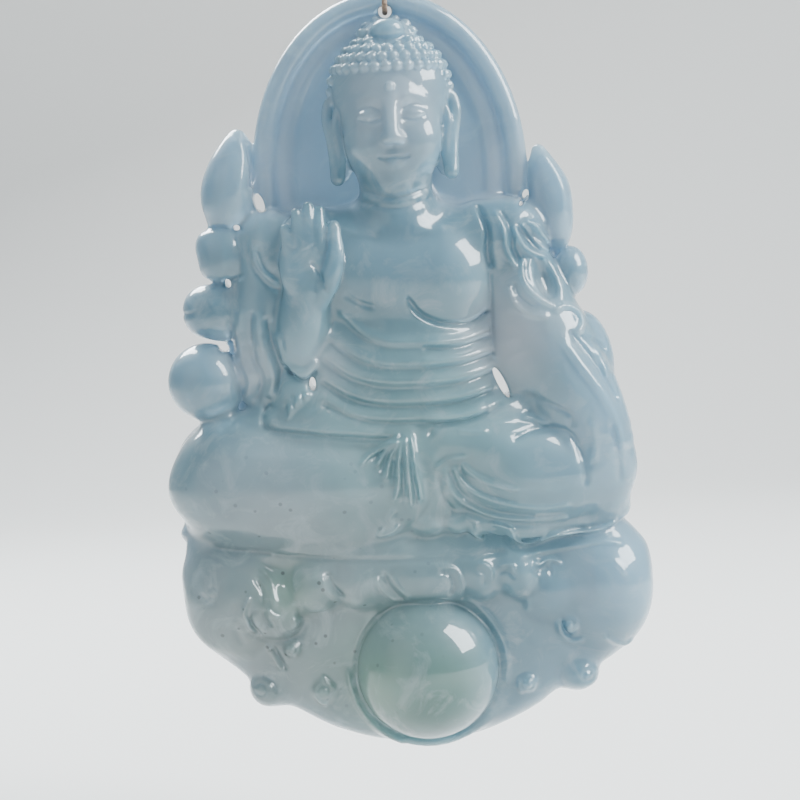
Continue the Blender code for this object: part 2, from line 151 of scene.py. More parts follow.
class Block:
    """Distances to the carved surface on a regular grid, negative inside the stone."""

    def __init__(self, low, high, step):
        self.step = step
        self.axes = [np.arange(a, b + step, step, dtype=np.float32) for a, b in zip(low, high)]
        self.field = np.full([len(axis) for axis in self.axes], FAR, np.float32)

    def window(self, low, high):
        """The part of the grid within a box: its slices, and its x, z and d."""
        spans = []
        for axis, a, b in zip(self.axes, low, high):
            first = max(0, int((a - axis[0]) / self.step))
            last = min(len(axis), int((b - axis[0]) / self.step) + 2)
            spans.append(slice(first, max(first, last)))
        x, z, d = (axis[span] for axis, span in zip(self.axes, spans))
        return tuple(spans), x[:, None, None], z[None, :, None], d[None, None, :]

    def join(self, spans, distance, blend, cut=False):
        """Adds a shape, with a fillet where it meets the rest, or cuts it away with rounded edges."""
        sign = -1 if cut else 1
        old = sign * self.field[spans]
        near = np.maximum(blend - np.abs(old - distance), 0) / blend
        self.field[spans] = sign * (np.minimum(old, distance) - near * near * blend / 4)

    def ball(self, centre, radii, tilt=0.0, blend=0.5, cut=False):
        """An ellipsoid, tilted in degrees anticlockwise as seen from the front."""
        centre, radii = np.array(centre, float), np.array(radii, float)
        reach = np.array([max(radii[0], radii[1])] * 2 + [radii[2]]) + blend + MARGIN
        spans, x, z, d = self.window(centre - reach, centre + reach)
        u, v = turned(x, z, centre, tilt)
        w = d - centre[2]
        a = np.sqrt((u / radii[0]) ** 2 + (v / radii[1]) ** 2 + (w / radii[2]) ** 2)
        b = np.sqrt((u / radii[0] ** 2) ** 2 + (v / radii[1] ** 2) ** 2 + (w / radii[2] ** 2) ** 2)
        self.join(spans, a * (a - 1) / np.maximum(b, LEAST_SLOPE), blend, cut)

    def limb(self, stations, blend=0.4, smooth=True, cut=False):
        """A round tube through (x, z, d, radius) stations."""
        path = open_curve(stations, 5) if smooth else np.array(stations, float)
        reach = path[:, 3].max() + blend + MARGIN
        spans, x, z, d = self.window(path[:, :3].min(0) - reach, path[:, :3].max(0) + reach)
        distance = np.full(self.field[spans].shape, FAR, np.float32)
        for a, b in zip(path, path[1:]):
            ex, ez, ed = b[:3] - a[:3]
            along = (x - a[0]) * ex + (z - a[1]) * ez + (d - a[2]) * ed
            t = np.clip(along / max(ex * ex + ez * ez + ed * ed, TINY), 0, 1)
            gap = np.sqrt((x - a[0] - t * ex) ** 2 + (z - a[1] - t * ez) ** 2 + (d - a[2] - t * ed) ** 2)
            distance = np.minimum(distance, gap - (a[3] + t * (b[3] - a[3])))
        self.join(spans, distance, blend, cut)

    def pad(self, points, top, edge=0.8, dome=0.0, dome_width=2.0, slope=(0.0, 0.0), blend=0.4):
        """A raised area within an outline: a rounded edge, a top that swells inwards, tilted by its slope."""
        outline = closed_curve(points)
        reach = blend + MARGIN
        low, high = outline.min(0) - reach, outline.max(0) + reach
        spans, x, z, d = self.window((*low, -MARGIN), (*high, top + dome + reach + 1.5 * MARGIN))
        aside = outline_distance(x, z, outline)
        middle = outline.mean(0)
        rise = 1 - np.clip(-aside / dome_width, 0, 1)
        height = top + dome * (1 - rise * rise) + (x - middle[0]) * slope[0] + (z - middle[1]) * slope[1]
        p, q = aside + edge, d - height + edge
        distance = np.minimum(np.maximum(p, q), 0) + np.hypot(np.maximum(p, 0), np.maximum(q, 0)) - edge
        self.join(spans, distance, blend)

    def drill(self, centre, half_sizes, tilt=0.0, blend=0.35):
        """A hole right through, oval as seen from the front."""
        reach = max(half_sizes) + 1.5 * MARGIN
        low, high = ([c + side * reach for c in centre] + [side * EVERYWHERE] for side in (-1, 1))
        spans, x, z, _ = self.window(low, high)
        u, v = turned(x, z, centre, tilt)
        a = np.hypot(u / half_sizes[0], v / half_sizes[1])
        b = np.hypot(u / half_sizes[0] ** 2, v / half_sizes[1] ** 2)
        self.join(spans, a * (a - 1) / np.maximum(b, LEAST_SLOPE), blend, cut=True)

    def engrave(self, strokes):
        """Raises (height > 0) or cuts (height < 0) a line along each stroke: (points, width, height)."""
        x, z = self.axes[0][:, None], self.axes[1][None, :]
        relief = np.zeros((len(self.axes[0]), len(self.axes[1])), np.float32)
        for points, width, height in strokes:
            path = open_curve(points)
            reach = STROKE_REACH * width
            spans, sx, sz, _ = self.window((*(path.min(0) - reach), 0), (*(path.max(0) + reach), 0))
            sx, sz = sx[:, :, 0], sz[:, :, 0]
            lengths = np.hypot(*np.diff(path, axis=0).T)
            starts = np.concatenate([[0], np.cumsum(lengths)])
            total = max(starts[-1], LEAST_SLOPE)
            best = np.full(np.broadcast(sx, sz).shape, np.inf)
            along = np.zeros(best.shape)
            for a, b, start, length in zip(path, path[1:], starts, lengths):
                gap, t = to_segment(sx, sz, a, b)
                closer = gap < best
                best = np.where(closer, gap, best)
                along = np.where(closer, (start + t * length) / total, along)
            fade = np.clip(np.minimum(along, 1 - along) * total / (STROKE_FADE * width), 0, 1)
            profile = np.exp(-((best / width) ** 2)) * (STROKE_END + (1 - STROKE_END) * np.sqrt(fade))
            relief[spans[0], spans[1]] += height * profile
        d = self.axes[2][None, None, :]
        self.field -= relief[:, :, None] * np.clip((d - RELIEF_FROM) / RELIEF_FROM, 0, 1)

    def flatten_back(self, blend):
        """Keeps only what lies in front of the flat back."""
        spans, _, _, d = self.window([-EVERYWHERE] * 3, [EVERYWHERE] * 3)
        self.join(spans, np.broadcast_to(d, self.field.shape), blend, cut=True)

    def surface(self):
        """Points and four-sided faces of the surface where the distance is 0."""
        inside = self.field < 0
        cells = np.zeros([n - 1 for n in inside.shape], np.uint8)
        corners = [(i, j, k) for i in (0, 1) for j in (0, 1) for k in (0, 1)]
        size = np.array(cells.shape)
        for corner in corners:
            cells += inside[tuple(slice(c, c + n) for c, n in zip(corner, size))]
        i, j, k = np.nonzero((cells > 0) & (cells < 8))
        index = np.full(cells.shape, -1, np.int32)
        index[i, j, k] = np.arange(len(i))
        values = {c: self.field[i + c[0], j + c[1], k + c[2]] for c in corners}
        total, count = np.zeros((len(i), 3)), np.zeros(len(i))
        for a in corners:
            for axis in range(3):
                if a[axis]:
                    continue
                b = tuple(v + (n == axis) for n, v in enumerate(a))
                fa, fb = values[a], values[b]
                cross = (fa < 0) != (fb < 0)
                t = np.where(cross, fa / np.where(cross, fa - fb, 1), 0)
                point = np.tile(np.array(a, float), (len(i), 1))
                point[:, axis] += t
                total += point * cross[:, None]
                count += cross
        grid = np.column_stack([i, j, k]) + total / count[:, None]
        points = grid * self.step + np.array([axis[0] for axis in self.axes])
        faces = []
        for axis in range(3):
            ahead = [slice(1, -1)] * 3
            ahead[axis] = slice(0, -1)
            beyond = [slice(1, -1)] * 3
            beyond[axis] = slice(1, None)
            here, there = inside[tuple(ahead)], inside[tuple(beyond)]
            at = np.column_stack(np.nonzero(here != there)) + [int(n != axis) for n in range(3)]
            leaving = inside[tuple(at.T)]
            others = [n for n in range(3) if n != axis]
            ring = []
            for back in ((1, 1), (0, 1), (0, 0), (1, 0)):
                cell = at.copy()
                cell[:, others[0]] -= back[0]
                cell[:, others[1]] -= back[1]
                ring.append(index[tuple(cell.T)])
            quad = np.column_stack(ring)
            flip = leaving if axis == 1 else ~leaving
            quad[flip] = quad[flip][:, ::-1]
            faces.append(quad)
        return points, np.vstack(faces)


# ---------------------------------------------------------------- the carving's shapes


def arc(centre, radius, start, end, steps=10):
    """Points of a circle's arc, in degrees anticlockwise from the right."""
    turns = np.radians(np.linspace(start, end, steps))
    return [(centre[0] + radius * math.cos(t), centre[1] + radius * math.sin(t)) for t in turns]


def halo_arc(shrink, start, end, steps=40):
    """Points along the halo's ellipse, drawn in from its edge."""
    turns = np.radians(np.linspace(start, end, steps))
    (cx, cz), (rx, rz) = HALO_CENTRE, HALO_RADII
    return [(cx + (rx - shrink) * math.cos(t), cz + (rz - shrink) * math.sin(t)) for t in turns]


def strokes(*rows):
    """Carved lines from rows of width, height, then x and z of each point. A ridge's height is over 0."""
    return [(list(zip(row[2::2], row[3::2])), *row[:2]) for row in rows]


def mirrored(points):
    """The same points on the other side of the middle."""
    return [(-p[0], *p[1:]) for p in points]


def add_balls(block, balls):
    """Melts in rounded masses, in turn: centre, radii, tilt and blend."""
    for centre, radii, tilt, blend in balls:
        block.ball(centre, radii, tilt, blend)


def sculpt_halo(block):
    """The plate behind the head, hollowed inside a round rim and a lower ridge."""
    block.pad([*halo_arc(0.0, -8, 188, 24), (-11.5, 12.0), (10.8, 12.0)], 2.6, edge=1.1, blend=0.2)
    block.ball((-0.4, 21.0, 4.0), (12.6, 15.0, 2.1), blend=1.0, cut=True)
    block.limb([(x, z, 2.35, 0.95) for x, z in halo_arc(0.95, -8, 188, 44)], blend=0.35, smooth=False)
    block.limb([(x, z, 1.95, 0.75) for x, z in halo_arc(3.1, -12, 192, 40)], blend=0.7, smooth=False)


# The long ears: the outer rim and the inner fold, on the right
EAR_RIM = [(4.95, 25.1, 4.2, 0.4), (5.6, 24.6, 4.1, 0.46), (5.8, 23.2, 4.2, 0.46), (5.5, 21.4, 4.4, 0.45),
           (5.3, 19.6, 4.7, 0.5), (5.1, 18.0, 4.9, 0.66)]
EAR_FOLD = [(4.75, 24.0, 4.6, 0.36), (5.1, 22.6, 4.7, 0.32), (4.8, 21.0, 4.8, 0.34), (4.7, 19.2, 4.9, 0.4),
            (5.0, 18.1, 5.0, 0.5)]


def sculpt_head(block):
    """Neck, head, curled hair with its bun and jewel, and ears."""
    hair, hair_radii = (0.0, 25.7, 4.0), (5.25, 4.9, 4.0)
    bun, bun_radii = (0.0, 29.9, 3.5), (2.5, 2.1, 2.4)
    block.limb([(0, 18.0, 3.9, 3.1), (0, 14.0, 3.7, 3.6)], blend=1.0, smooth=False)
    block.ball(hair, hair_radii, blend=0.3)
    block.ball((0, 22.9, 9.4), (4.2, 4.6, 3.4), blend=0.3, cut=True)
    block.ball((0, 23.2, 4.2), (4.6, 6.45, 4.45), blend=0.2)
    block.ball((0, 19.8, 4.8), (3.7, 3.1, 3.3), blend=1.4)
    sculpt_features(block)
    block.ball(bun, bun_radii, blend=0.4)
    sculpt_curls(block, hair, hair_radii, low=0.33)
    sculpt_curls(block, bun, bun_radii, low=0.0)
    block.ball((*JEWEL, 5.3), (1.5, 1.1, 1.2), blend=0.15)
    for side in (1, -1):
        block.ball((side * 4.6, 21.3, 3.2), (1.2, 3.6, 1.5), blend=0.5)
        for line in (EAR_RIM, EAR_FOLD):
            block.limb(line if side > 0 else mirrored(line), blend=0.25)


def sculpt_features(block):
    """The face: calm, with lowered lids, on even thirds from hairline to chin."""
    for side in (1, -1):
        block.ball((side * 1.85, 23.5, 9.75), (1.5, 0.85, 1.6), tilt=side * -4, blend=0.9, cut=True)
        block.ball((side * 1.85, 23.2, 7.8), (1.15, 0.62, 0.62), tilt=side * -4, blend=0.3)
        block.ball((side * 2.3, 20.9, 6.6), (1.6, 1.7, 1.5), blend=1.6)
        block.ball((side * 0.68, 21.1, 8.65), (0.42, 0.42, 0.45), blend=0.35)
    block.limb([(0, 24.6, 8.2, 0.42), (0, 22.9, 8.7, 0.5), (0, 21.35, 9.0, 0.6)], blend=0.7)
    block.limb([(-1.3, 19.75, 7.65, 0.2), (0, 19.74, 8.1, 0.38), (1.3, 19.75, 7.65, 0.2)], blend=0.3)
    block.limb([(-0.95, 19.3, 7.7, 0.26), (0, 19.02, 8.05, 0.46), (0.95, 19.3, 7.7, 0.26)], blend=0.3)
    block.ball((0, 17.7, 6.5), (1.4, 0.95, 1.2), blend=1.2)
    block.ball((0, 25.75, 8.45), (0.42, 0.42, 0.4), blend=0.12)


def hairline(forward, low):
    """The height above which curls grow: level over the face, and dipping beside it."""
    if forward > TEMPLE:
        return low
    return low - TEMPLE_DIP * (1 - max(forward, 0) / TEMPLE) - TEMPLE_STEP


def sculpt_curls(block, centre, radii, low):
    """Rows of snail shell curls over a rounded mass, clear of the jewel and the drilled hole."""
    rows = round(math.pi / 2 * (radii[1] + radii[0]) / 2 / CURL_PITCH)
    for row in range(rows + 1):
        down = math.pi / 2 * row / rows
        ring = max(1, round(2 * math.pi * radii[0] * math.sin(down) / CURL_PITCH))
        for n in range(ring):
            turn = 2 * math.pi * (n + 0.5 * (row % 2)) / ring
            ux, ud, uz = math.sin(down) * math.cos(turn), math.sin(down) * math.sin(turn), math.cos(down)
            if ud < -TEMPLE or uz < hairline(ud, low):
                continue
            place = (centre[0] + ux * radii[0], centre[1] + uz * radii[1], centre[2] + ud * radii[2])
            from_jewel = math.hypot((place[0] - JEWEL[0]) / JEWEL_STRETCH, place[1] - JEWEL[1])
            if (from_jewel < JEWEL_CLEAR and ud > 0) or math.dist(place[:2], HOLE) < HOLE_CLEAR:
                continue
            block.ball(place, (CURL_RADIUS, CURL_RADIUS, CURL_RADIUS), blend=0.1)


EYE_LINES = strokes(
    (0.14, -0.2, -3, 23.1, -1.9, 22.72, -0.85, 23), (0.16, -0.1, -3, 23.85, -1.9, 24.1, -0.8, 23.65),
    (0.3, 0.1, -3.5, 24.5, -2.2, 25, -0.9, 24.7),
)
FACE_LINES = [
    *EYE_LINES,
    *[(mirrored(points), width, height) for points, width, height in EYE_LINES],
] + strokes(
    (0.12, -0.2, -1.5, 19.66, -0.6, 19.42, 0, 19.46, 0.6, 19.42, 1.5, 19.66),
    (0.18, -0.12, 0, 20.6, 0, 20.1), (0.24, -0.26, -2.8, 16.7, 0, 16, 2.8, 16.7),
    (0.24, -0.22, -3.1, 15.8, 0, 15, 3.1, 15.8),
)


# Chest, belly and shoulders: centre, radii, tilt, blend
TORSO_BALLS = [
    ((-0.8, 8.4, 2.7), (8.8, 6.8, 4.3), 0, 1.4), ((-3.4, 9.6, 4.0), (4.9, 4.3, 3.7), -12, 1.8),
    ((3.7, 8.7, 3.8), (5.0, 5.2, 4.5), 0, 1.2), ((0.0, 8.9, 3.6), (3.2, 4.6, 4.1), 0, 2.0),
    ((0.4, 0.6, 3.6), (7.9, 6.8, 4.5), 0, 1.6), ((-6.4, 0.6, 2.8), (3.8, 6.2, 3.8), 0, 1.4),
    ((-7.5, 12.2, 3.2), (4.4, 3.2, 3.4), 12, 1.4), ((8.2, 12.0, 3.0), (4.2, 3.4, 3.6), -14, 1.2),
    ((0.0, 13.8, 2.6), (5.4, 2.4, 3.0), 0, 1.4),
]


def belly_fold(left, right, sag):
    """A fold that sags from the left side to the middle and rises a little to the right."""
    return [left, (left[0] * 0.68, left[1] - 0.62 * sag), (left[0] * 0.3, left[1] - 0.93 * sag),
            (1.4, left[1] - sag), (4.6, right[1] - 0.75), right]


BELLY_FOLDS = [
    belly_fold((-5.6, 6.2), (7.7, 3.8), 3.0),
    belly_fold((-6.8, 4.3), (7.9, 2.2), 2.9),
    belly_fold((-7.4, 2.5), (7.9, 0.6), 2.8),
    belly_fold((-7.7, 0.6), (7.6, -1.1), 2.6),
    belly_fold((-7.8, -1.2), (7.0, -2.8), 2.3),
]
CREST_WIDTH = 0.45
CREST_HEIGHT = 0.24
CREASE_DROP = 0.62  # from a fold's crest to the crease under it

TORSO_LINES = [
    *[(fold, CREST_WIDTH, CREST_HEIGHT) for fold in BELLY_FOLDS],
    *[(fold[3:], CREST_WIDTH, 0.22) for fold in BELLY_FOLDS],
    *[([(x, z - CREASE_DROP) for x, z in fold[:4]], 0.36, -0.22) for fold in BELLY_FOLDS],
    *[([(x, z - CREASE_DROP) for x, z in fold[3:]], 0.26, -0.3) for fold in BELLY_FOLDS],
] + strokes(
    # under the chest, and the collar bones
    (0.28, -0.42, 0.4, 7.2, 1.3, 5.8, 2.7, 4.9, 4.5, 4.5, 6.2, 4.6, 7.7, 5.4),
    (0.3, -0.2, -5.2, 7.8, -3.8, 6.9, -2.4, 6.4), (0.5, 0.16, -6, 14.1, -3.5, 13.2, -1.2, 13.3),
    (0.5, 0.16, 6, 14, 3.5, 13.1, 1.2, 13.3),
    # straps of the robe over the figure's left shoulder
    (0.28, -0.42, 7.2, 14.9, 7.9, 12.6, 7.8, 10.6, 8.1, 9.2),
    (0.34, 0.26, 7.8, 14.6, 8.4, 13.2, 8.5, 11, 8.8, 9.2),
    (0.24, 0.44, 8.6, 14.4, 9.3, 12.8, 9.5, 11, 10.3, 9),
    (0.22, -0.3, 9.2, 14.2, 10, 12.6, 10.1, 10.8, 10.7, 9.6),
    (0.2, 0.4, 10.2, 12.9, 10.9, 11.3, 11.7, 10.5, 13.1, 9.9),
    (0.18, 0.36, 10.9, 13.1, 11.7, 12, 12.4, 11.1, 13.4, 10.4),
    (0.2, 0.36, 11.2, 13.3, 12.2, 12.9, 12.9, 11.9, 13.5, 11.2),
    (0.22, 0.44, 10.8, 9.9, 10.8, 8.2, 11.5, 7, 12.4, 6.2, 13.4, 5.6),
    (0.28, 0.3, 9.4, 7.6, 9.9, 6, 11.2, 5, 12.9, 4.7), (0.22, -0.24, 9.9, 7.9, 10.5, 6.6, 11.7, 5.6),
)


def sculpt_raised_arm(block):
    """The sleeve, the forearm and the open hand on the left."""
    block.limb([(-11.4, 12.4, 3.4, 2.8), (-12.6, 7.5, 3.4, 3.0), (-12.7, 2.5, 3.4, 2.6),
                (-12.4, -1.8, 3.0, 2.0)], blend=0.9)
    block.ball((-12.0, 11.7, 3.5), (2.4, 3.7, 3.1), blend=1.2)
    block.limb([(-9.35, 2.0, 5.3, 1.3), (-9.35, 3.3, 5.5, 1.9), (-9.0, 5.2, 5.8, 2.3),
                (-8.5, 8.2, 6.4, 2.05)], blend=0.7)
    block.ball((-8.4, 10.7, 7.0), (2.35, 3.0, 1.4), blend=0.8)
    block.ball((-9.7, 10.0, 7.7), (0.9, 1.6, 0.8), blend=0.6)
    fingers = [((-7.05, 12.0), (-6.85, 15.3), 0.56), ((-7.95, 12.3), (-7.85, 15.7), 0.58),
               ((-8.85, 12.2), (-8.95, 15.2), 0.56), ((-9.75, 11.7), (-10.05, 13.9), 0.5)]
    for (ax, az), (bx, bz), radius in fingers:
        middle = ((ax + bx) / 2, (az + bz) / 2)
        block.limb([(ax, az, 7.5, radius), (*middle, 7.6, radius * 0.98), (bx, bz, 7.1, radius * 0.78)],
                   blend=0.45)
    block.pad([(-10.5, 9.8), (-10.4, 13.6), (-9.4, 14.9), (-7.9, 15.5), (-6.7, 15.0), (-5.9, 13.2),
               (-5.6, 10.0), (-7.0, 8.0), (-9.6, 8.0)], 6.9, edge=0.9, blend=0.4)
    block.limb([(-7.3, 7.4, 7.3, 0.9), (-6.2, 9.4, 7.9, 0.95), (-5.6, 11.6, 7.9, 0.72),
                (-5.7, 13.9, 7.4, 0.42)], blend=0.35)
    block.ball((-6.35, 11.8, 6.8), (0.9, 2.3, 0.8), tilt=8, blend=0.6)
    block.limb([(-10.7, 2.2, 6.0, 0.4), (-9.9, 1.2, 6.4, 0.45), (-9.0, 0.95, 6.5, 0.48),
                (-8.2, 1.7, 6.4, 0.4)], blend=0.3)
    block.ball((-9.4, -1.6, 4.8), (2.8, 2.4, 2.2), tilt=-25, blend=0.8)


RAISED_ARM_LINES = strokes(
    # folds round the shoulder
    (0.3, -0.24, -13.6, 13, -13.2, 11, -12.2, 9.4, -11, 8.4),
    (0.32, 0.2, -13.1, 12.6, -12.7, 10.8, -11.7, 9.5, -10.9, 8.9),
    (0.28, -0.2, -12.5, 12.2, -12.1, 10.7, -11.3, 9.7),
    (0.34, -0.2, -14.5, 13.4, -14.2, 11.4, -14.5, 9.4, -14.8, 7.8),
    # the sleeve's fall
    (0.42, 0.28, -14.3, 7.2, -14.9, 4.9, -14.7, 2.5, -14.1, 0.4, -14.7, -1.8),
    (0.26, -0.32, -13.5, 6.7, -13.7, 4.5, -13.5, 2.3, -13, 0.6, -13.6, -1.4),
    (0.32, 0.28, -12.9, 6.5, -12.9, 4.5, -12.5, 2.6, -12, 0.8, -12.6, -1.2),
    (0.24, -0.34, -12.1, 5.9, -12, 4.2, -11.6, 2.6, -11.3, 1, -11.7, -1),
    (0.3, -0.22, -15.4, 6, -15.7, 3.6, -15.4, 1, -15, -1),
    # the forearm's edge and the fold at the elbow
    (0.22, 0.24, -11.4, 4.6, -11.2, 3.2, -10.9, 2.2), (0.22, -0.32, -10.9, 1.6, -10, 0.55, -9, 0.25, -8, 1),
    (0.34, 0.34, -8.8, -0.8, -9.8, -1.4, -10.6, -2.3, -11, -3.2), (0.14, -0.3, -9.4, -0.7, -9.5, -1.6),
    (0.14, -0.3, -10.2, -1, -10.3, -2.2), (0.14, -0.3, -11, -1.8, -10.9, -2.9),
    # creases of the palm and between the fingers
    (0.14, -0.16, -9.9, 12.5, -9.4, 12, -8.9, 12.2), (0.14, -0.14, -8.7, 11.7, -8.1, 11.9, -7.4, 12.3),
    (0.16, -0.22, -7.9, 10.8, -7.1, 9.6, -6.6, 7.8),
)


def sculpt_draped_arm(block):
    """The arm on the right under its draped sleeve, with the hollows in the shoulder's folds."""
    block.ball((10.0, 12.0, 3.4), (3.3, 3.4, 3.4), tilt=-30, blend=0.8)
    block.limb([(10.6, 9.6, 3.6, 2.9), (12.2, 4.4, 4.2, 3.7), (14.4, -1.5, 4.6, 4.2), (16.2, -7.0, 4.6, 3.9),
                (16.9, -11.6, 4.2, 2.7)], blend=0.8)
    block.pad([(7.6, 9.2), (7.7, 4.0), (7.6, 0.2), (8.6, -2.6), (11.4, -2.8), (12.4, 2.0), (11.4, 6.4),
               (9.8, 9.4)], 5.5, edge=0.9, dome=0.6, slope=(0.2, 0.0), blend=1.6)
    block.ball((16.4, 0.6, 3.2), (2.4, 4.3, 2.6), tilt=8, blend=0.5)
    block.ball((12.1, 11.5, 7.3), (2.1, 0.9, 1.9), tilt=-45, blend=0.4, cut=True)
    block.ball((12.9, 8.3, 7.6), (1.2, 2.3, 2.4), tilt=14, blend=0.5, cut=True)
    block.ball((14.8, 4.5, 3.8), (1.3, 1.2, 2.0), blend=0.25)


DRAPED_ARM_LINES = strokes(
    (0.2, -0.22, 7.9, 8.9, 7.9, 5, 7.8, 1.2),
    (0.26, -0.2, 8.8, -2.2, 10.4, -2.2, 12.2, -2.9, 14.2, -4, 14.4, -5.2),
    (0.3, -0.26, 9, -5.9, 11, -5.3, 13.6, -5.4, 14.7, -6.8, 15.2, -8.6, 15.3, -10.4),
    (0.24, -0.28, 14.6, 3.3, 16.3, 0.9, 17.7, -1.4, 18.6, -3.2),
    (0.46, 0.36, 13.9, 2.6, 15.6, 0.1, 17.3, -2.4, 18.5, -5, 18.9, -7.6),
    (0.26, 0.4, 13.4, 5.2, 14.3, 5.6, 15.3, 5.3, 15.9, 4.5, 15.8, 3.6, 15.2, 3.1),
    (0.24, -0.2, 15.6, 2.9, 16.8, 2.2, 18, 1.2), (0.3, 0.2, 16.9, 1.6, 17.6, 0.2, 17.8, -1),
    (0.3, 0.2, 16.2, -4.8, 16.3, -6.6, 16.1, -8.4), (0.3, -0.2, 17.9, -5.2, 18.4, -7.6, 18.4, -10.4),
    (0.9, 0.16, 12.6, 2.6, 13.6, -0.2, 15.4, -3.2),
)


# Knees, shins and lap: centre, radii, tilt, blend
LEG_BALLS = [
    ((-12.3, -9.2, 4.0), (9.8, 5.2, 5.5), 0, 1.0), ((-15.4, -8.4, 3.7), (6.3, 5.8, 5.3), 0, 1.3),
    ((-7.0, -9.4, 4.4), (7.5, 4.9, 5.2), 0, 1.4), ((10.6, -9.4, 4.0), (9.7, 5.2, 5.6), 0, 1.0),
    ((0.0, -9.4, 4.0), (6.5, 5.2, 4.9), 0, 1.6), ((-4.5, -4.2, 3.9), (10.5, 2.9, 3.9), -4, 1.2),
    ((6.4, -4.2, 3.9), (6.6, 2.7, 3.9), 6, 1.2),
]


def sculpt_legs(block):
    """The crossed legs, the robe's edges over the lap, and its hems."""
    add_balls(block, LEG_BALLS)
    block.limb([(-13.2, -3.6, 5.0, 0.9), (-9.0, -4.6, 6.4, 0.9), (-4.0, -4.9, 7.1, 0.8),
                (-0.4, -5.0, 7.2, 0.7)], blend=0.9)
    block.limb([(2.2, -4.6, 7.0, 0.7), (5.0, -4.3, 7.0, 0.8), (8.6, -3.6, 6.2, 0.8)], blend=0.9)
    block.limb([(2.8, -6.0, 7.5, 1.1), (7.0, -6.4, 7.4, 1.7), (11.0, -7.0, 6.5, 1.7)], blend=2.0)
    block.ball((-0.2, -7.6, 5.4), (2.9, 3.8, 3.5), blend=1.2)
    # ruffles under the pleats, and the robe's rolled hem under the shins
    for x, z, half_width in ((-2.2, -12.9, 1.4), (1.2, -13.2, 1.6), (3.7, -13.3, 1.2), (5.5, -13.6, 1.0)):
        block.ball((x, z, 6.1), (half_width, 1.1, 1.7), blend=0.6)
    block.limb([(-18.6, -12.2, 3.8, 1.2), (-14.0, -13.0, 5.0, 1.4), (-8.0, -13.2, 5.9, 1.3),
                (-3.6, -13.0, 6.4, 0.9)], blend=1.8)
    block.limb([(18.6, -13.2, 4.0, 0.9), (14.0, -14.0, 5.8, 0.9), (9.4, -14.2, 6.8, 0.9),
                (6.4, -13.4, 7.0, 0.9), (4.6, -13.0, 7.0, 0.6)], blend=0.6)


# Ridges of the pleats that hang between the knees, from left to right
PLEATS = [
    [(-1.0, -4.9), (-2.4, -5.9), (-3.8, -6.6), (-4.6, -7.4)],
    [(-1.1, -5.2), (-2.3, -6.3), (-3.2, -7.6)],
    [(-1.1, -5.3), (-1.9, -6.8), (-2.5, -8.8)],
    [(-0.8, -5.1), (-1.2, -7.0), (-1.4, -9.4), (-1.8, -10.8)],
    [(-0.5, -5.0), (-0.5, -7.2), (-0.4, -9.4), (-0.3, -11.4)],
    [(0.0, -5.0), (0.2, -7.2), (0.5, -9.4), (0.7, -11.0)],
]

LEG_LINES = [
    *[(pleat, 0.2, 0.4) for pleat in PLEATS],
    *[([((a[0] + b[0]) / 2, (a[1] + b[1]) / 2) for a, b in zip(left[1:], right[1:])], 0.18, -0.2)
      for left, right in zip(PLEATS, PLEATS[1:])],
] + strokes(
    (0.24, 0.3, -1.8, -11.6, -2.3, -12.4, -2.1, -13.2),
    (0.22, 0.3, -3, -13.2, -3.4, -13.9, -2.4, -13.7, -1.4, -13.1),
    (0.5, -0.22, 0.8, -6.6, 1.3, -9, 1.2, -11.2, 0.2, -12.6),
    # the sleeve's hem across the lap
    (0.24, -0.3, -12.3, -1.8, -13.1, -2.9, -12.5, -4, -9.5, -4.5, -5.5, -5, -2.6, -5.3, -0.6, -5.1),
    (0.3, 0.2, -12.2, -2.4, -12.4, -3.1, -11.8, -3.5, -9.3, -4, -5.5, -4.4, -2.6, -4.7),
    (0.26, -0.28, 1.6, -5.3, 2.3, -4.5, 3.8, -4.1, 6.5, -3.7, 8.4, -2.8),
    (0.24, 0.2, 4.2, -4.8, 5.4, -5, 6.8, -5), (0.24, 0.24, 10, -4, 11, -4.3, 12.2, -4.9),
    # folds that fan out round the right shin
    (0.24, 0.26, 2.8, -8.1, 3.2, -10, 4.5, -11.6, 7, -12.8, 10.4, -13.4, 13.6, -13.4),
    (0.2, -0.18, 3.3, -8.5, 3.9, -10.1, 5.2, -11.3, 7.6, -12.4, 10.6, -12.9),
    (0.26, 0.26, 3.6, -8, 4.3, -9.5, 5.7, -10.7, 8.2, -11.7, 11, -12.2, 13.8, -12.1),
    (0.2, -0.16, 4.1, -8.4, 5, -9.6, 6.6, -10.6, 9, -11.4),
    (0.24, 0.26, 4.3, -7.8, 5.3, -8.8, 7, -9.8, 9.2, -10.4),
    (0.26, -0.26, 2.3, -8.8, 2.5, -10.6, 3.4, -12.2), (0.26, 0.2, 2, -8.2, 3.2, -7.4, 4.8, -7.2),
    (0.18, 0.3, 4.6, -12.8, 5.3, -13.2, 5.3, -13.8), (0.18, 0.3, 4.9, -14.1, 5.4, -14.7, 6, -15),
    (0.6, 0.1, -17.5, -5.6, -12, -6.3, -6, -7),
    # the wavy hem over the seat, and the seat's edge
    (0.22, 0.38, 6.6, -13.4, 7.4, -13.6, 8.4, -14.1, 8.8, -15.1, 9.6, -15.6, 10.8, -15.6, 12, -15.1, 14,
     -15, 16.6, -14.8, 18.2, -14.2),
    (0.22, -0.16, 6.8, -14.2, 7.8, -14.5, 8.2, -15.6, 9.4, -16.2, 11.2, -16, 12.6, -15.6, 15, -15.4),
    (0.22, -0.22, 11.6, -14.5, 13.2, -14.4, 15.2, -14.5),
    (0.22, 0.26, 9, -16.7, 12, -16.5, 14.6, -16.1, 16.6, -15.8, 18.6, -16.2),
    (0.26, -0.2, -18.6, -14.5, -16.5, -14.8, -13, -15.2),
    (0.24, -0.16, -13, -15.3, -7, -16, 0, -16.3, 8, -16.3),
)

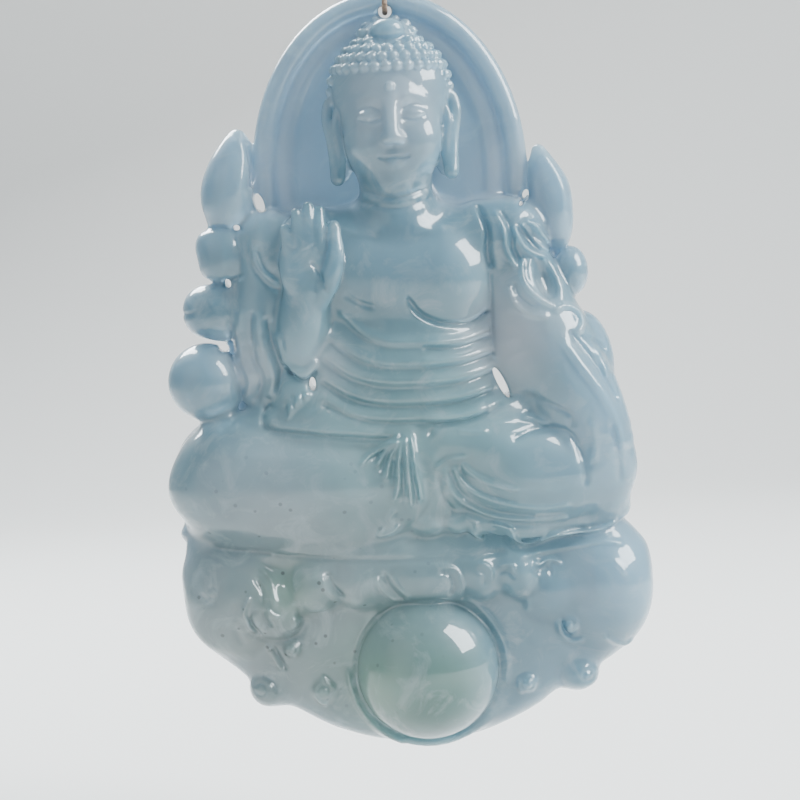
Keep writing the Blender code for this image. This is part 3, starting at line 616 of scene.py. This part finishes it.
# The throne's outline, anticlockwise from its upper left corner
THRONE_OUTLINE = [
    (-19.6, -14), (-20.9, -14.9), (-21.7, -17.2), (-21.3, -19.8), (-20.3, -22.3), (-19, -24.5),
    (-17.2, -26.1), (-16.1, -27.3), (-15.3, -28.9), (-13.9, -29.7), (-12.2, -30), (-10, -31.3), (-8, -32.3),
    (-5, -33.3), (-2, -33.8), (0.2, -34.1), (2.2, -33.8), (5, -33.3), (8, -32.2), (10.4, -31),
    (12.2, -29.8), (14.2, -29.8), (15.5, -29), (16.1, -27.8), (17.6, -26.8), (19.4, -25.3), (20.5, -23),
    (21.1, -20), (21.1, -17.4), (20.3, -15.8), (18.2, -14), (14, -13.5), (7, -13.4), (0, -13.4),
    (-7, -13.4), (-14, -13.5), (-17.8, -13.6),
]

# The scrolls' round eyes, as (x, z, d, radius)
SCROLL_EYES = [(-18.6, -18.3, 5.6, 0.9), (-11.9, -24.1, 5.4, 0.75), (-15.0, -27.7, 4.1, 0.95),
               (-9.3, -28.3, 5.0, 1.1), (9.3, -28.6, 5.0, 0.8), (14.8, -28.3, 4.1, 0.9),
               (13.3, -23.4, 5.7, 0.8)]


# Lobes and scrolls of the throne, and the seat: centre, radii, tilt, blend
THRONE_BALLS = [
    ((-16.9, -19.4, 4.0), (4.5, 5.2, 3.3), -10, 1.0), ((16.8, -20.0, 4.2), (4.2, 5.4, 3.4), 12, 1.6),
    ((-13.4, -20.1, 4.8), (3.1, 3.1, 2.5), 0, 0.9), ((12.0, -20.2, 4.4), (3.2, 3.0, 2.5), 0, 0.9),
    ((-14.3, -28.0, 3.2), (1.8, 1.7, 2.4), 0, 0.6), ((14.0, -28.2, 3.2), (1.9, 1.7, 2.4), 0, 0.6),
    ((0.0, -17.6, 4.0), (13.0, 3.8, 3.5), 0, 0.9),
]

# Petals under the seat, as (x, z, half width, tilt)
PETALS = [(-9.3, -18.4, 2.2, -16), (-5.4, -18.2, 2.0, -10), (0.6, -18.3, 3.1, 0), (5.4, -18.0, 1.9, 8),
          (8.8, -18.2, 1.8, 14)]


def sculpt_throne(block):
    """The throne of petals and scrolls, with the pearl in its cup."""
    block.pad(THRONE_OUTLINE, 4.4, edge=1.7, dome=1.1, dome_width=6.0, blend=0.3)
    add_balls(block, THRONE_BALLS)
    # the stone between the shins and the seat
    block.limb([(-19.6, -13.9, 2.9, 1.2), (-15.0, -14.6, 4.2, 1.2), (-9.0, -15.2, 5.2, 1.2),
                (-2.0, -15.3, 5.9, 1.1)], blend=1.6)
    for x, z, half_width, tilt in PETALS:
        block.ball((x, z, 5.9), (half_width, 2.4, 1.75), tilt=tilt, blend=0.8)
    # the pearl in its cup
    cup = arc(PEARL, PEARL_RADIUS + 0.4, -180, 180, 44)
    block.limb([(*p, 4.6, 0.42) for p in cup], blend=0.9, smooth=False)
    block.ball((*PEARL, 4.6), (PEARL_RADIUS, PEARL_RADIUS, 6.0), blend=0.12)
    for x, z, d, radius in SCROLL_EYES:
        block.ball((x, z, d - 0.1), (radius, radius, 1.1), blend=0.5)


THRONE_LINES = [
    (arc(PEARL, PEARL_RADIUS + 0.05, -180, 180, 44), 0.18, -0.12),
    (arc(PEARL, PEARL_RADIUS + 0.7, 178, 250, 16), 0.24, 0.36),
    (arc(PEARL, PEARL_RADIUS + 0.75, -15, 60, 16), 0.26, 0.2),
    *[(arc((x, z), 0.56 * radius, -180, 180, 14), 0.14, -0.16) for x, z, _, radius in SCROLL_EYES],
] + strokes(
    # the scroll left of the pearl
    (0.2, 0.34, -15.3, -18.8, -15.9, -20.2, -15.7, -21.3, -15.1, -22.3),
    (0.16, -0.3, -15.5, -20.6, -15.2, -21.6, -14.5, -22.6),
    (0.24, 0.34, -15.1, -20.4, -14.8, -21.3, -14.2, -22.2),
    (0.18, -0.3, -14.2, -20.2, -14, -21, -13.4, -21.8),
    (0.2, 0.3, -13.8, -19.9, -13.4, -20.5, -12.6, -20.9),
    (0.24, 0.24, -14.2, -16.5, -13.4, -17.4, -13.2, -18.8, -12.9, -19.9),
    (0.22, -0.24, -14.8, -17.2, -14.2, -18.4, -14.1, -19.6),
    (0.26, -0.18, -15.6, -22, -14.4, -23, -12.9, -23.3, -11.2, -22.8, -10.6, -21.7, -11.1, -20.8),
    (0.22, 0.34, -11.9, -22.3, -11.4, -21.7, -11.6, -21.1),
    (0.34, -0.16, -16.6, -19.4, -16.9, -21.4, -16.2, -23.4),
    (0.5, 0.14, -17.8, -22.6, -17.2, -24, -15.4, -24.6),
    (0.2, 0.34, -14.1, -23.8, -13.6, -24.9, -13, -26.1),
    (0.2, -0.24, -13.6, -23.8, -13.1, -24.9, -12.5, -26),
    (0.24, -0.22, -14.7, -26.5, -13.8, -27.2, -13.6, -28.2),
    (0.2, 0.3, -9.4, -26.8, -8.9, -27.4, -8.3, -28), (0.2, 0.2, -9.9, -28.6, -9.6, -29.3, -9, -29.5),
    (0.22, -0.18, -19.8, -18.4, -19.2, -19, -18.4, -19.3),
    # the lobe on the right, and the small curl beside it
    (0.28, 0.26, 12.2, -22.8, 12.4, -24, 13.4, -25, 14.6, -24.9),
    (0.16, -0.26, 12.8, -22.8, 12.8, -23.8, 13.4, -24.5),
    (0.22, 0.24, 16.3, -24.5, 17.4, -25.3, 18.4, -25.8, 19.2, -25.4),
    (0.6, -0.16, 14.4, -17.6, 15, -19.4, 14.9, -21.8), (0.24, 0.2, 17.4, -17.6, 18, -18, 18.6, -18.8),
    (0.2, 0.22, 8.5, -28, 8.4, -28.9, 8.8, -29.6), (0.4, 0.2, 9.8, -20.6, 9.6, -21.8),
    (0.24, -0.16, 12.6, -27, 12.2, -28.2, 12.6, -29.2),
    # petal edges
    (0.2, 0.24, -8.8, -17.2, -8.3, -18.6, -7.4, -19.8), (0.18, -0.24, -8.2, -17, -7.7, -18.4, -6.8, -19.4),
    (0.18, 0.26, -3.9, -17.6, -3.3, -19, -2.2, -20.2), (0.18, -0.26, -3.2, -17.4, -2.6, -18.8, -1.6, -20),
    (0.18, 0.22, -2.6, -17.4, -2, -18.6, -1, -19.8),
    (0.18, 0.26, 1.8, -17.1, 2.8, -17.2, 3.5, -17.7, 3.8, -18.8, 3.4, -20),
    (0.18, -0.26, 1.8, -17.7, 2.6, -17.8, 3, -18.6, 2.7, -19.8),
    (0.18, 0.24, 5.4, -17, 6.1, -17.2, 6.5, -17.8, 6.4, -18.8),
    (0.18, -0.22, 5.2, -17.6, 5.8, -18, 5.7, -19), (0.18, 0.26, 7.2, -17.4, 8, -17.2, 8.7, -17.6),
    (0.18, -0.2, 7.2, -18, 8, -17.9, 8.6, -18.6),
    (0.18, 0.26, 10.4, -17.2, 10.9, -17.6, 11.5, -17.3, 12.2, -17.3, 12.8, -17.7),
    (0.2, -0.2, 10.6, -18.2, 11.6, -18, 12, -18.8),
)


# The thin plate behind the figure, anticlockwise from the bud on the left
PLATE_OUTLINE = [
    (-12, 15.2), (-14, 15.4), (-14.9, 13.6), (-16.2, 10.2), (-16.3, 5.2), (-16.8, 1.2), (-18.2, -2.6),
    (-20.5, -4.9), (-21.5, -7), (-21.8, -9.8), (-21.2, -12.2), (-19.6, -14.6), (0, -17), (17.8, -15),
    (18.8, -12.2), (19.7, -9.4), (19.3, -6.4), (18.2, -3), (17.6, 0.6), (15.6, 4.2), (15, 8.2),
    (15.1, 11.2), (13.6, 12.8), (12.6, 14.6), (11.4, 14.6),
]


def sculpt_sides(block):
    """The plate behind the figure, and the beads, buds and pearls down both edges."""
    block.pad(PLATE_OUTLINE, 2.9, edge=1.3, blend=0.3)
    block.limb([(-15.2, 15.5, 3.0, 2.1), (-14.9, 17.2, 3.1, 2.7), (-14.5, 19.0, 3.0, 2.45),
                (-14.15, 20.8, 2.9, 1.7), (-14.0, 22.1, 2.8, 0.9)], blend=0.25)
    block.limb([(-16.2, 12.5, 3.0, 2.2), (-15.9, 11.2, 3.0, 2.3)], blend=0.25, smooth=False)
    block.ball((-15.2, 12.0, 3.3), (2.3, 2.5, 2.2), blend=0.8)
    block.ball((-17.45, 7.3, 3.0), (2.35, 1.95, 2.4), blend=0.3)
    block.ball((-17.4, 6.1, 3.0), (2.3, 1.8, 2.35), blend=1.1)
    block.ball((-16.0, 6.5, 3.3), (2.4, 2.5, 2.2), blend=0.8)
    block.ball((-18.1, 0.5, 3.8), (3.5, 3.5, 3.4), blend=0.15)
    block.limb([(13.05, 19.4, 2.7, 0.65), (13.35, 17.8, 2.8, 1.35), (13.8, 16.0, 2.8, 1.9),
                (13.9, 14.2, 2.8, 2.0), (14.1, 12.6, 2.8, 1.7), (14.5, 11.4, 2.8, 0.95)], blend=0.25)
    block.ball((15.4, 8.5, 2.9), (1.55, 2.25, 2.1), blend=0.15)


SIDE_LINES = strokes(
    (0.4, 0.2, -13.9, 22.2, -13.4, 20.9, -13.7, 19, -14, 16.8),
    (0.2, -0.25, -13, 21.4, -12.75, 19.6, -13.1, 17.6),
    (0.35, 0.2, 13.3, 19.2, 14.4, 17.4, 15, 15.4, 15, 13.4),
    (0.4, -0.12, 12.9, 18.4, 12.8, 16.4, 13.2, 14.2, 14, 12),
    (0.2, -0.2, -18.4, 14, -16, 14.3, -13.9, 13.9), (0.2, -0.2, -18.2, 9.7, -16, 9.4, -13.9, 9.9),
    (0.2, -0.12, -20.1, 6.8, -19.3, 6.7, -18.5, 6.9), (0.5, 0.12, -15.6, 13.2, -15.8, 11.6, -15.4, 10.4),
)

# Pierced gaps: centre, half sizes, tilt
GAPS = [
    ((-12.35, 16.3), (0.38, 0.85), 18),
    ((-14.5, 14.2), (0.32, 0.26), 0),
    ((-15.6, 9.25), (0.26, 0.42), 10),
    ((-16.4, 3.4), (0.4, 0.24), -30),
    ((-8.5, -0.15), (0.3, 0.6), 0),
    ((8.4, -1.05), (0.34, 1.5), 24),
    ((11.65, 15.6), (0.2, 0.34), -15),
    ((11.15, 14.8), (0.15, 0.28), -45),
]


def sculpt_stone():
    """Points and faces of the whole carving, in the layout's millimetres."""
    block = Block(BLOCK_LOW, BLOCK_HIGH, STEP)
    sculpt_sides(block)
    sculpt_halo(block)
    sculpt_throne(block)
    sculpt_legs(block)
    add_balls(block, TORSO_BALLS)
    sculpt_draped_arm(block)
    sculpt_raised_arm(block)
    sculpt_head(block)
    block.engrave([*FACE_LINES, *TORSO_LINES, *RAISED_ARM_LINES, *DRAPED_ARM_LINES, *LEG_LINES, *THRONE_LINES,
                   *SIDE_LINES])
    block.flatten_back(1.0)
    for centre, half_sizes, tilt in GAPS:
        block.drill(centre, half_sizes, tilt)
    block.drill(HOLE, (HOLE_RADIUS, HOLE_RADIUS), blend=0.6)
    return block.surface()


def row_point(x, z, d):
    """A point of the layout in the CAD frame, in metres."""
    return Vector((x, LIP_DEPTH / 2 - d, z - KNOT_Z)) * MM


def mesh_of_stone():
    """The carving's surface as a mesh in the CAD frame."""
    points, faces = sculpt_stone()
    placed = np.column_stack([points[:, 0], LIP_DEPTH / 2 - points[:, 2], points[:, 1] - KNOT_Z]) * MM
    mesh = bpy.data.meshes.new("carved_jade")
    mesh.vertices.add(len(placed))
    mesh.vertices.foreach_set("co", placed.astype(np.float32).ravel())
    mesh.loops.add(faces.size)
    mesh.loops.foreach_set("vertex_index", faces.astype(np.int32).ravel())
    mesh.polygons.add(len(faces))
    mesh.polygons.foreach_set("loop_start", np.arange(0, faces.size, 4, dtype=np.int32))
    mesh.update(calc_edges=True)
    mesh.validate()
    return mesh


def make_stone(jade):
    """The finished stone: its surface smoothed, then with fewer faces."""
    mesh = mesh_of_stone()
    mesh.materials.append(jade)
    stone = add_object("carved_jade", mesh)
    polish = stone.modifiers.new("polish", "SMOOTH")
    polish.factor = POLISH
    polish.iterations = POLISH_ROUNDS
    fewer = stone.modifiers.new("fewer_faces", "DECIMATE")
    fewer.ratio = KEPT_SHARE
    bpy.context.view_layer.update()
    final = bpy.data.meshes.new_from_object(stone.evaluated_get(bpy.context.evaluated_depsgraph_get()))
    stone.modifiers.clear()
    stone.data = final
    final.polygons.foreach_set("use_smooth", [True] * len(final.polygons))
    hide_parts("jade_carving")
    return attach(stone, "stone")


# ---------------------------------------------------------------- thread and knot

THREAD_RADIUS = 0.25
THREAD_GAP = 0.3  # clear of the lip, and of the knot's foot
THREAD_Z = HOLE[1]
THREAD_REACH = LIP_DEPTH / 2 + THREAD_GAP + THREAD_RADIUS
THREAD_BEND = 1.05
THREAD_LEVEL = 0.6  # half the length of the level run in the hole
PLY_PITCH = 1.5  # one full twist of the thread's plies
PLY_DEPTH = 0.16  # of the valleys between plies, as a share of the radius
KNOT_FOOT = KNOT_Z - 1.1 - THREAD_GAP
KNOT_REACH = 0.5  # from the middle to each strand, at the knot's foot
LEAN = 0.35  # how much of each strand's lean inwards comes late

# The knot, from its own middle: its wrap, and each strand as (y, z) from under it to the strand's cut end
WRAP_TURNS = 3.4
WRAP_RADIUS = 0.6
WRAP_HEIGHT = 1.7
WRAP_STEPS = 72
KNOT_STRAND = [(0.27, -1.15), (0.27, 0.9), (0.5, 1.7), (1.3, 3.6)]


def thread_route(steps=10):
    """The thread's middle line as (x, y, z): down behind the stone, through its hole and up in front."""
    half = [(0.0, THREAD_Z), (THREAD_LEVEL, THREAD_Z)]
    for i in range(steps + 1):
        turn = math.pi / 2 * i / steps
        half.append((THREAD_REACH - THREAD_BEND + THREAD_BEND * math.sin(turn),
                     THREAD_Z + THREAD_BEND - THREAD_BEND * math.cos(turn)))
    start_z = THREAD_Z + THREAD_BEND
    for i in range(1, steps + 1):
        t = i / steps
        half.append((THREAD_REACH + (KNOT_REACH - THREAD_REACH) * (LEAN * t * t + (1 - LEAN) * t),
                     start_z + (KNOT_FOOT - start_z) * t))
    return [(0.0, y, z) for y, z in reversed(half[1:])] + [(0.0, -y, z) for y, z in half]


def resample(path, spacing):
    """The same path, at even steps."""
    path = np.array(path, float)
    lengths = np.linalg.norm(np.diff(path, axis=0), axis=1)
    starts = np.concatenate([[0], np.cumsum(lengths)])
    count = max(2, round(starts[-1] / spacing))
    at = np.linspace(0, starts[-1], count + 1)
    return np.column_stack([np.interp(at, starts, path[:, n]) for n in range(3)])


def twisted_thread(bm, path, spacing=0.1, sides=18, plies=3):
    """A closed tube of twisted plies along a path of (x, y, z) in the layout's millimetres."""
    line = resample(path, spacing)
    ahead = np.gradient(line, axis=0)
    ahead /= np.linalg.norm(ahead, axis=1)[:, None]
    beside = np.cross(ahead[0], (1.0, 0.2, 0.1))  # any direction that isn't along the path
    rings, run = [], 0.0
    for n, (centre, forward) in enumerate(zip(line, ahead)):
        beside = beside - forward * (beside @ forward)
        beside /= np.linalg.norm(beside)
        across = np.cross(forward, beside)
        if n:
            run += np.linalg.norm(line[n] - line[n - 1])
        twist = 2 * math.pi * run / PLY_PITCH
        ring = []
        for side in range(sides):
            turn = 2 * math.pi * side / sides
            lobe = abs(math.cos(plies / 2 * (turn - twist)))
            reach = THREAD_RADIUS * (1 - PLY_DEPTH + PLY_DEPTH * lobe)
            place = centre + reach * (beside * math.cos(turn) + across * math.sin(turn))
            ring.append(bm.verts.new(Vector((place[0], place[1], place[2] - KNOT_Z)) * MM))
        rings.append(ring)
    for a, b in zip(rings, rings[1:]):
        for side in range(sides):
            beyond = (side + 1) % sides
            bm.faces.new((a[side], a[beyond], b[beyond], b[side]))
    bm.faces.new(rings[0][::-1])
    bm.faces.new(rings[-1])


def add_object(name, data):
    obj = bpy.data.objects.new(name, data)
    bpy.context.scene.collection.objects.link(obj)
    return obj


def object_from(bm, name, material):
    """A smooth shaded object in one material."""
    bmesh.ops.recalc_face_normals(bm, faces=bm.faces)
    for face in bm.faces:
        face.smooth = True
    mesh = bpy.data.meshes.new(name)
    bm.to_mesh(mesh)
    bm.free()
    mesh.materials.append(material)
    return add_object(name, mesh)


def make_thread(material):
    """The twisted thread through the stone, and its knot."""
    route = thread_route()
    bm = bmesh.new()
    twisted_thread(bm, route)
    thread = object_from(bm, "twisted_thread", material)
    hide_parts("hanging_thread")
    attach(thread, "thread")
    knot = make_knot(material)
    return thread


def make_knot(material):
    """A wrap of three turns round the two strands, and the cut ends that leave its top."""
    bm = bmesh.new()
    wrap = []
    for n in range(WRAP_STEPS + 1):
        t = n / WRAP_STEPS
        angle = 2 * math.pi * WRAP_TURNS * t
        wrap.append((WRAP_RADIUS * math.cos(angle), WRAP_RADIUS * math.sin(angle),
                     KNOT_Z - WRAP_HEIGHT / 2 + WRAP_HEIGHT * t))
    twisted_thread(bm, wrap, sides=14)
    for side in (1, -1):
        strand = [(0, side * y, KNOT_Z + z) for y, z in KNOT_STRAND]
        twisted_thread(bm, [tuple(p) for p in open_curve(strand)], sides=14)
    knot = object_from(bm, "knot_wraps", material)
    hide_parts("thread_knot")
    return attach(knot, "thread")


# ---------------------------------------------------------------- materials


def node(tree, kind, **settings):
    """A new node, with each setting given to its input of that name or else to itself."""
    made = tree.nodes.new(kind)
    for name, value in settings.items():
        if name in made.inputs:
            made.inputs[name].default_value = value
        else:
            setattr(made, name, value)
    return made


def ramp_node(tree, source, stops):
    """A colour ramp with two (position, colour) stops, driven by a number."""
    ramp = node(tree, "ShaderNodeValToRGB")
    for element, (position, colour) in zip(ramp.color_ramp.elements, stops):
        element.position = position
        element.color = (*colour, 1)
    tree.links.new(source, ramp.inputs["Fac"])
    return ramp.outputs["Color"]


def layer(tree, under, over, share):
    """One colour laid over another by a number from 0 to 1."""
    mix = tree.nodes.new("ShaderNodeMix")
    mix.data_type = "RGBA"
    tree.links.new(share, mix.inputs["Factor"])
    tree.links.new(under, mix.inputs[6])
    if isinstance(over, tuple):
        mix.inputs[7].default_value = (*over, 1)
    else:
        tree.links.new(over, mix.inputs[7])
    return mix.outputs[2]


def fade_node(tree, source, start, end, low, high):
    """A number that eases from low to high while another goes from start to end."""
    fade = node(tree, "ShaderNodeMapRange")
    fade.interpolation_type = "SMOOTHSTEP"
    tree.links.new(source, fade.inputs["Value"])
    for name, value in (("From Min", start), ("From Max", end), ("To Min", low), ("To Max", high)):
        fade.inputs[name].default_value = value
    return fade.outputs["Result"]


def spot(tree, place, centre, reach):
    """A number that fades from 1 at a layout point to 0 at a distance in millimetres."""
    away = node(tree, "ShaderNodeVectorMath", operation="DISTANCE")
    tree.links.new(place, away.inputs[0])
    away.inputs[1].default_value = row_point(*centre)
    return fade_node(tree, away.outputs["Value"], 0.0, reach * MM, 1.0, 0.0)


def times(tree, a, b):
    """The product of two numbers, each a node's output or fixed."""
    product = node(tree, "ShaderNodeMath", operation="MULTIPLY")
    for socket, value in zip(product.inputs, (a, b)):
        if isinstance(value, float):
            socket.default_value = value
        else:
            tree.links.new(value, socket)
    return product.outputs[0]


# The stone's tones, where its clouds are thin and where they are dense
CLOUD_SPAN = (0.3, 0.72)
BLUE_TONE = ((0.07, 0.17, 0.225), (0.17, 0.31, 0.385))
TEAL_TONE = ((0.07, 0.175, 0.19), (0.17, 0.31, 0.33))
GREY_TONE = ((0.105, 0.145, 0.135), (0.22, 0.255, 0.235))
GREEN_TONE = ((0.04, 0.115, 0.075), (0.10, 0.205, 0.145))

# Zones of another tone over the blue: tone, centre (x, z, d), reach and strength
ZONES = [
    (TEAL_TONE, (0.0, -6.0, 6.0), 22.0, 1.0), (GREY_TONE, (-14.0, -24.0, 6.0), 28.0, 0.9),
    (GREEN_TONE, (-3.0, -27.5, 7.0), 12.0, 0.85),
]

# Where the stone's tint changes: centre (x, z, d), reach, strength and colour. The pale tints are painted
# light: a glow where thin stone lets light through, and light laid over the shade on the sleeve's slab beside
# the torso, on the halo and on the face.
PAINTED_GLOW, BLUE, GREEN = (0.50, 0.52, 0.56), (0.26, 0.42, 0.54), (0.11, 0.25, 0.15)
DEEP_BLUE, DEEP_GREEN = (0.10, 0.22, 0.31), (0.05, 0.13, 0.10)
TINTS = [
    ((9.6, 3.0, 5.4), 7.5, 0.85, PAINTED_GLOW), ((-14.6, 2.0, 4.5), 4.5, 0.6, PAINTED_GLOW),
    ((-11.8, 18.5, 2.5), 6.0, 0.45, PAINTED_GLOW), ((-7.0, 1.5, 6.5), 4.0, 0.35, PAINTED_GLOW),
    ((9.6, 18.0, 2.5), 4.5, 0.45, PAINTED_GLOW), ((17.5, -4.0, 5.0), 13.0, 0.6, BLUE),
    ((18.0, -20.0, 5.0), 10.0, 0.6, BLUE), ((14.0, 16.0, 3.0), 9.0, 0.5, BLUE),
    ((-15.0, 18.5, 3.0), 8.0, 0.5, BLUE), ((-18.0, 1.0, 4.0), 7.0, 0.4, BLUE),
    ((0.0, 26.0, 6.0), 10.0, 0.45, BLUE), ((0.5, 24.0, 8.0), 8.0, 0.4, PAINTED_GLOW),
    ((-11.8, -18.5, 6.0), 4.5, 0.5, GREEN), ((-4.0, -27.5, 9.0), 4.5, 0.45, GREEN),
    ((1.5, -28.0, 10.0), 6.5, 0.4, GREEN), ((-13.0, -9.0, 8.0), 8.0, 0.25, PAINTED_GLOW),
    ((0.5, 10.0, 8.5), 9.0, 0.35, DEEP_BLUE), ((1.0, -28.0, 10.5), 7.0, 0.45, DEEP_GREEN),
]

# Thin stone is painted paler, a painted glow of light shining through it that also lifts the shade in the
# halo's hollow: the front of it, its back, both as y in metres, the colour and the strength
THIN_FRONT, THIN_BACK, THIN_GLOW_COLOUR, THIN_GLOW_STRENGTH = -0.0040, -0.0010, (0.34, 0.42, 0.51), 0.55
WISP_COLOUR = (0.42, 0.50, 0.53)
SPECK_COLOUR = (0.04, 0.05, 0.05)
BLACK, WHITE = (0.0, 0.0, 0.0), (1.0, 1.0, 1.0)

JADE_SETTINGS = {
    "Subsurface Weight": 1.0, "Subsurface Radius": (0.8, 1.0, 1.1), "Subsurface Scale": 0.006,
    "Specular IOR Level": 0.2, "Transmission Weight": 0.5, "Roughness": 0.5, "IOR": 1.5,
    "Coat Weight": 1.0, "Coat Roughness": 0.03, "Coat IOR": 1.6,
}


def jade_colour(tree, place):
    """Icy blue, greyer at the lower left and green by the pearl, with clouds, wisps and dark specks, and
    painted light: a pale glow on thin stone and on the pale spots.
    """
    cloud = node(tree, "ShaderNodeTexNoise", Scale=110.0, Detail=4.0, Roughness=0.55)
    wisps = node(tree, "ShaderNodeTexNoise", Scale=260.0, Detail=5.0, Roughness=0.6, Distortion=1.4)
    grains = node(tree, "ShaderNodeTexVoronoi", Scale=850.0)
    for made in (cloud, wisps, grains):
        tree.links.new(place, made.inputs["Vector"])
    colour = ramp_node(tree, cloud.outputs["Fac"], zip(CLOUD_SPAN, BLUE_TONE))
    for tone, centre, reach, strength in ZONES:
        tinted = ramp_node(tree, cloud.outputs["Fac"], zip(CLOUD_SPAN, tone))
        colour = layer(tree, colour, tinted, times(tree, spot(tree, place, centre, reach), strength))
    # the pale tints among these are painted light, laid over thin stone and over shaded parts
    for centre, reach, strength, tint in TINTS:
        colour = layer(tree, colour, tint, times(tree, spot(tree, place, centre, reach), strength))
    depth = node(tree, "ShaderNodeSeparateXYZ")
    tree.links.new(place, depth.inputs[0])
    # painted glow: paler where the stone is thin, as light shines through it
    thin_glow = fade_node(tree, depth.outputs["Y"], THIN_FRONT, THIN_BACK, 0.0, THIN_GLOW_STRENGTH)
    colour = layer(tree, colour, THIN_GLOW_COLOUR, thin_glow)
    streak = ramp_node(tree, wisps.outputs["Fac"], [(0.52, BLACK), (0.74, (0.4, 0.4, 0.4))])
    colour = layer(tree, colour, WISP_COLOUR, streak)
    # specks where a grain's middle is near, in about half of the grains and mostly at the lower left
    dot = ramp_node(tree, grains.outputs["Distance"], [(0.12, WHITE), (0.19, BLACK)])
    few = ramp_node(tree, grains.outputs["Color"], [(0.50, BLACK), (0.52, WHITE)])
    specks = times(tree, times(tree, dot, few), spot(tree, place, (-12.0, -19.0, 6.0), 20.0))
    return layer(tree, colour, SPECK_COLOUR, specks)


def new_material(name):
    """A material with its node tree and its shader."""
    material = bpy.data.materials.new(name)
    material.use_nodes = True
    return material, material.node_tree, material.node_tree.nodes["Principled BSDF"]


def jade_material():
    """Translucent polished jade: a cloudy body under a clear coat."""
    material, tree, shader = new_material("icy_jade")
    place = node(tree, "ShaderNodeTexCoord").outputs["Object"]
    tree.links.new(jade_colour(tree, place), shader.inputs["Base Color"])
    for name, value in JADE_SETTINGS.items():
        shader.inputs[name].default_value = value
    return material


def thread_material():
    """Dull tan fibres."""
    material, tree, shader = new_material("tan_thread")
    place = node(tree, "ShaderNodeTexCoord")
    fibres = node(tree, "ShaderNodeTexNoise", Scale=2600.0, Detail=3.0)
    tree.links.new(place.outputs["Object"], fibres.inputs["Vector"])
    tan = ramp_node(tree, fibres.outputs["Fac"], [(0.35, (0.16, 0.10, 0.07)), (0.7, (0.40, 0.29, 0.21))])
    tree.links.new(tan, shader.inputs["Base Color"])
    shader.inputs["Roughness"].default_value = 0.8
    return material


# ---------------------------------------------------------------- studio


# The floor and its curved backdrop, in metres, and the light
STONE_FOOT_Z = -34.1  # the stone's lowest point in the layout
FLOOR_BELOW = 0.012  # from the stone's foot down to the floor
FLOOR_FRONT, FLOOR_BACK, FLOOR_HALF_WIDTH = -0.5, 0.25, 0.8
CURVE_RADIUS, CURVE_STEPS = 0.15, 12
BACKDROP_HEIGHT = 0.6
PAPER = (0.72, 0.71, 0.69, 1)
SKY, SKY_STRENGTH = (0.80, 0.87, 0.95, 1), 0.42
LAMP_TARGET = (0, 0, 4)

# Lamps: name, place from their target, width, watts and colour
LAMPS = [
    ("window", (0.26, -0.08, 0.20), 0.20, 3.8, (0.90, 0.97, 1.0)),
    ("fill", (-0.30, -0.30, 0.12), 0.40, 0.4, (1.0, 0.97, 0.94)),
    ("behind", (-0.10, 0.16, 0.20), 0.14, 2.2, (0.90, 0.97, 1.0)),
]
LAMP_SHAPE = 1.3  # a lamp's height for its width

# The camera: a close view of the front, a little from above, with the stone leaning in the picture
LENS, SENSOR = 100.0, 36.0
CAMERA_TARGET = (-0.77, -2.22, 4.0)
FRAME_WIDTH = 72.4  # of the view at its target, in millimetres
LEAN_ANGLE, ELEVATION = math.radians(3.5), math.radians(5)
CLIP_START = 0.01


def make_floor():
    """The floor, which curves up at the back into a wall."""
    floor_z = row_point(0, STONE_FOOT_Z, 0).z - FLOOR_BELOW
    profile = [(FLOOR_FRONT, floor_z), (FLOOR_BACK, floor_z)]
    for i in range(1, CURVE_STEPS + 1):
        turn = math.pi / 2 * i / CURVE_STEPS
        profile.append((FLOOR_BACK + CURVE_RADIUS * math.sin(turn),
                        floor_z + CURVE_RADIUS - CURVE_RADIUS * math.cos(turn)))
    profile.append((FLOOR_BACK + CURVE_RADIUS, floor_z + BACKDROP_HEIGHT))
    bm = bmesh.new()
    rows = [[bm.verts.new((x, y, z)) for y, z in profile] for x in (-FLOOR_HALF_WIDTH, FLOOR_HALF_WIDTH)]
    for a, b, c, d in zip(rows[0], rows[0][1:], rows[1][1:], rows[1]):
        bm.faces.new((a, d, c, b)).smooth = True
    paper, _, shader = new_material("pale_backdrop")
    shader.inputs["Base Color"].default_value = PAPER
    shader.inputs["Roughness"].default_value = 0.9
    mesh = bpy.data.meshes.new("floor")
    bm.to_mesh(mesh)
    bm.free()
    mesh.materials.append(paper)
    add_object("floor", mesh)


def make_studio():
    make_floor()
    world = bpy.data.worlds.new("studio")
    bpy.context.scene.world = world
    world.use_nodes = True
    world.node_tree.nodes["Background"].inputs["Color"].default_value = SKY
    world.node_tree.nodes["Background"].inputs["Strength"].default_value = SKY_STRENGTH
    for lamp in LAMPS:
        make_lamp(*lamp)


def make_lamp(name, offset, width, watts, colour):
    """A soft rectangular lamp that points at the stone."""
    light = bpy.data.lights.new(name, "AREA")
    light.shape = "RECTANGLE"
    light.size = width
    light.size_y = width * LAMP_SHAPE
    light.energy = watts
    light.color = colour
    obj = add_object(name, light)
    target = row_point(*LAMP_TARGET)
    obj.location = target + Vector(offset)
    obj.rotation_euler = (target - obj.location).to_track_quat("-Z", "Y").to_euler()


def make_camera():
    data = bpy.data.cameras.new("camera")
    data.lens = LENS
    data.sensor_width = SENSOR
    data.clip_start = CLIP_START
    camera = add_object("camera", data)
    away = Vector((0, -math.cos(ELEVATION), math.sin(ELEVATION)))
    camera.location = row_point(*CAMERA_TARGET) + away * (FRAME_WIDTH * LENS / SENSOR * MM)
    facing = (-away).to_track_quat("-Z", "Y").to_matrix()
    camera.rotation_euler = (facing @ Matrix.Rotation(-LEAN_ANGLE, 3, "Z")).to_euler()
    bpy.context.scene.camera = camera


def main():
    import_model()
    make_camera()
    make_thread(thread_material())
    make_stone(jade_material())
    make_studio()


main()
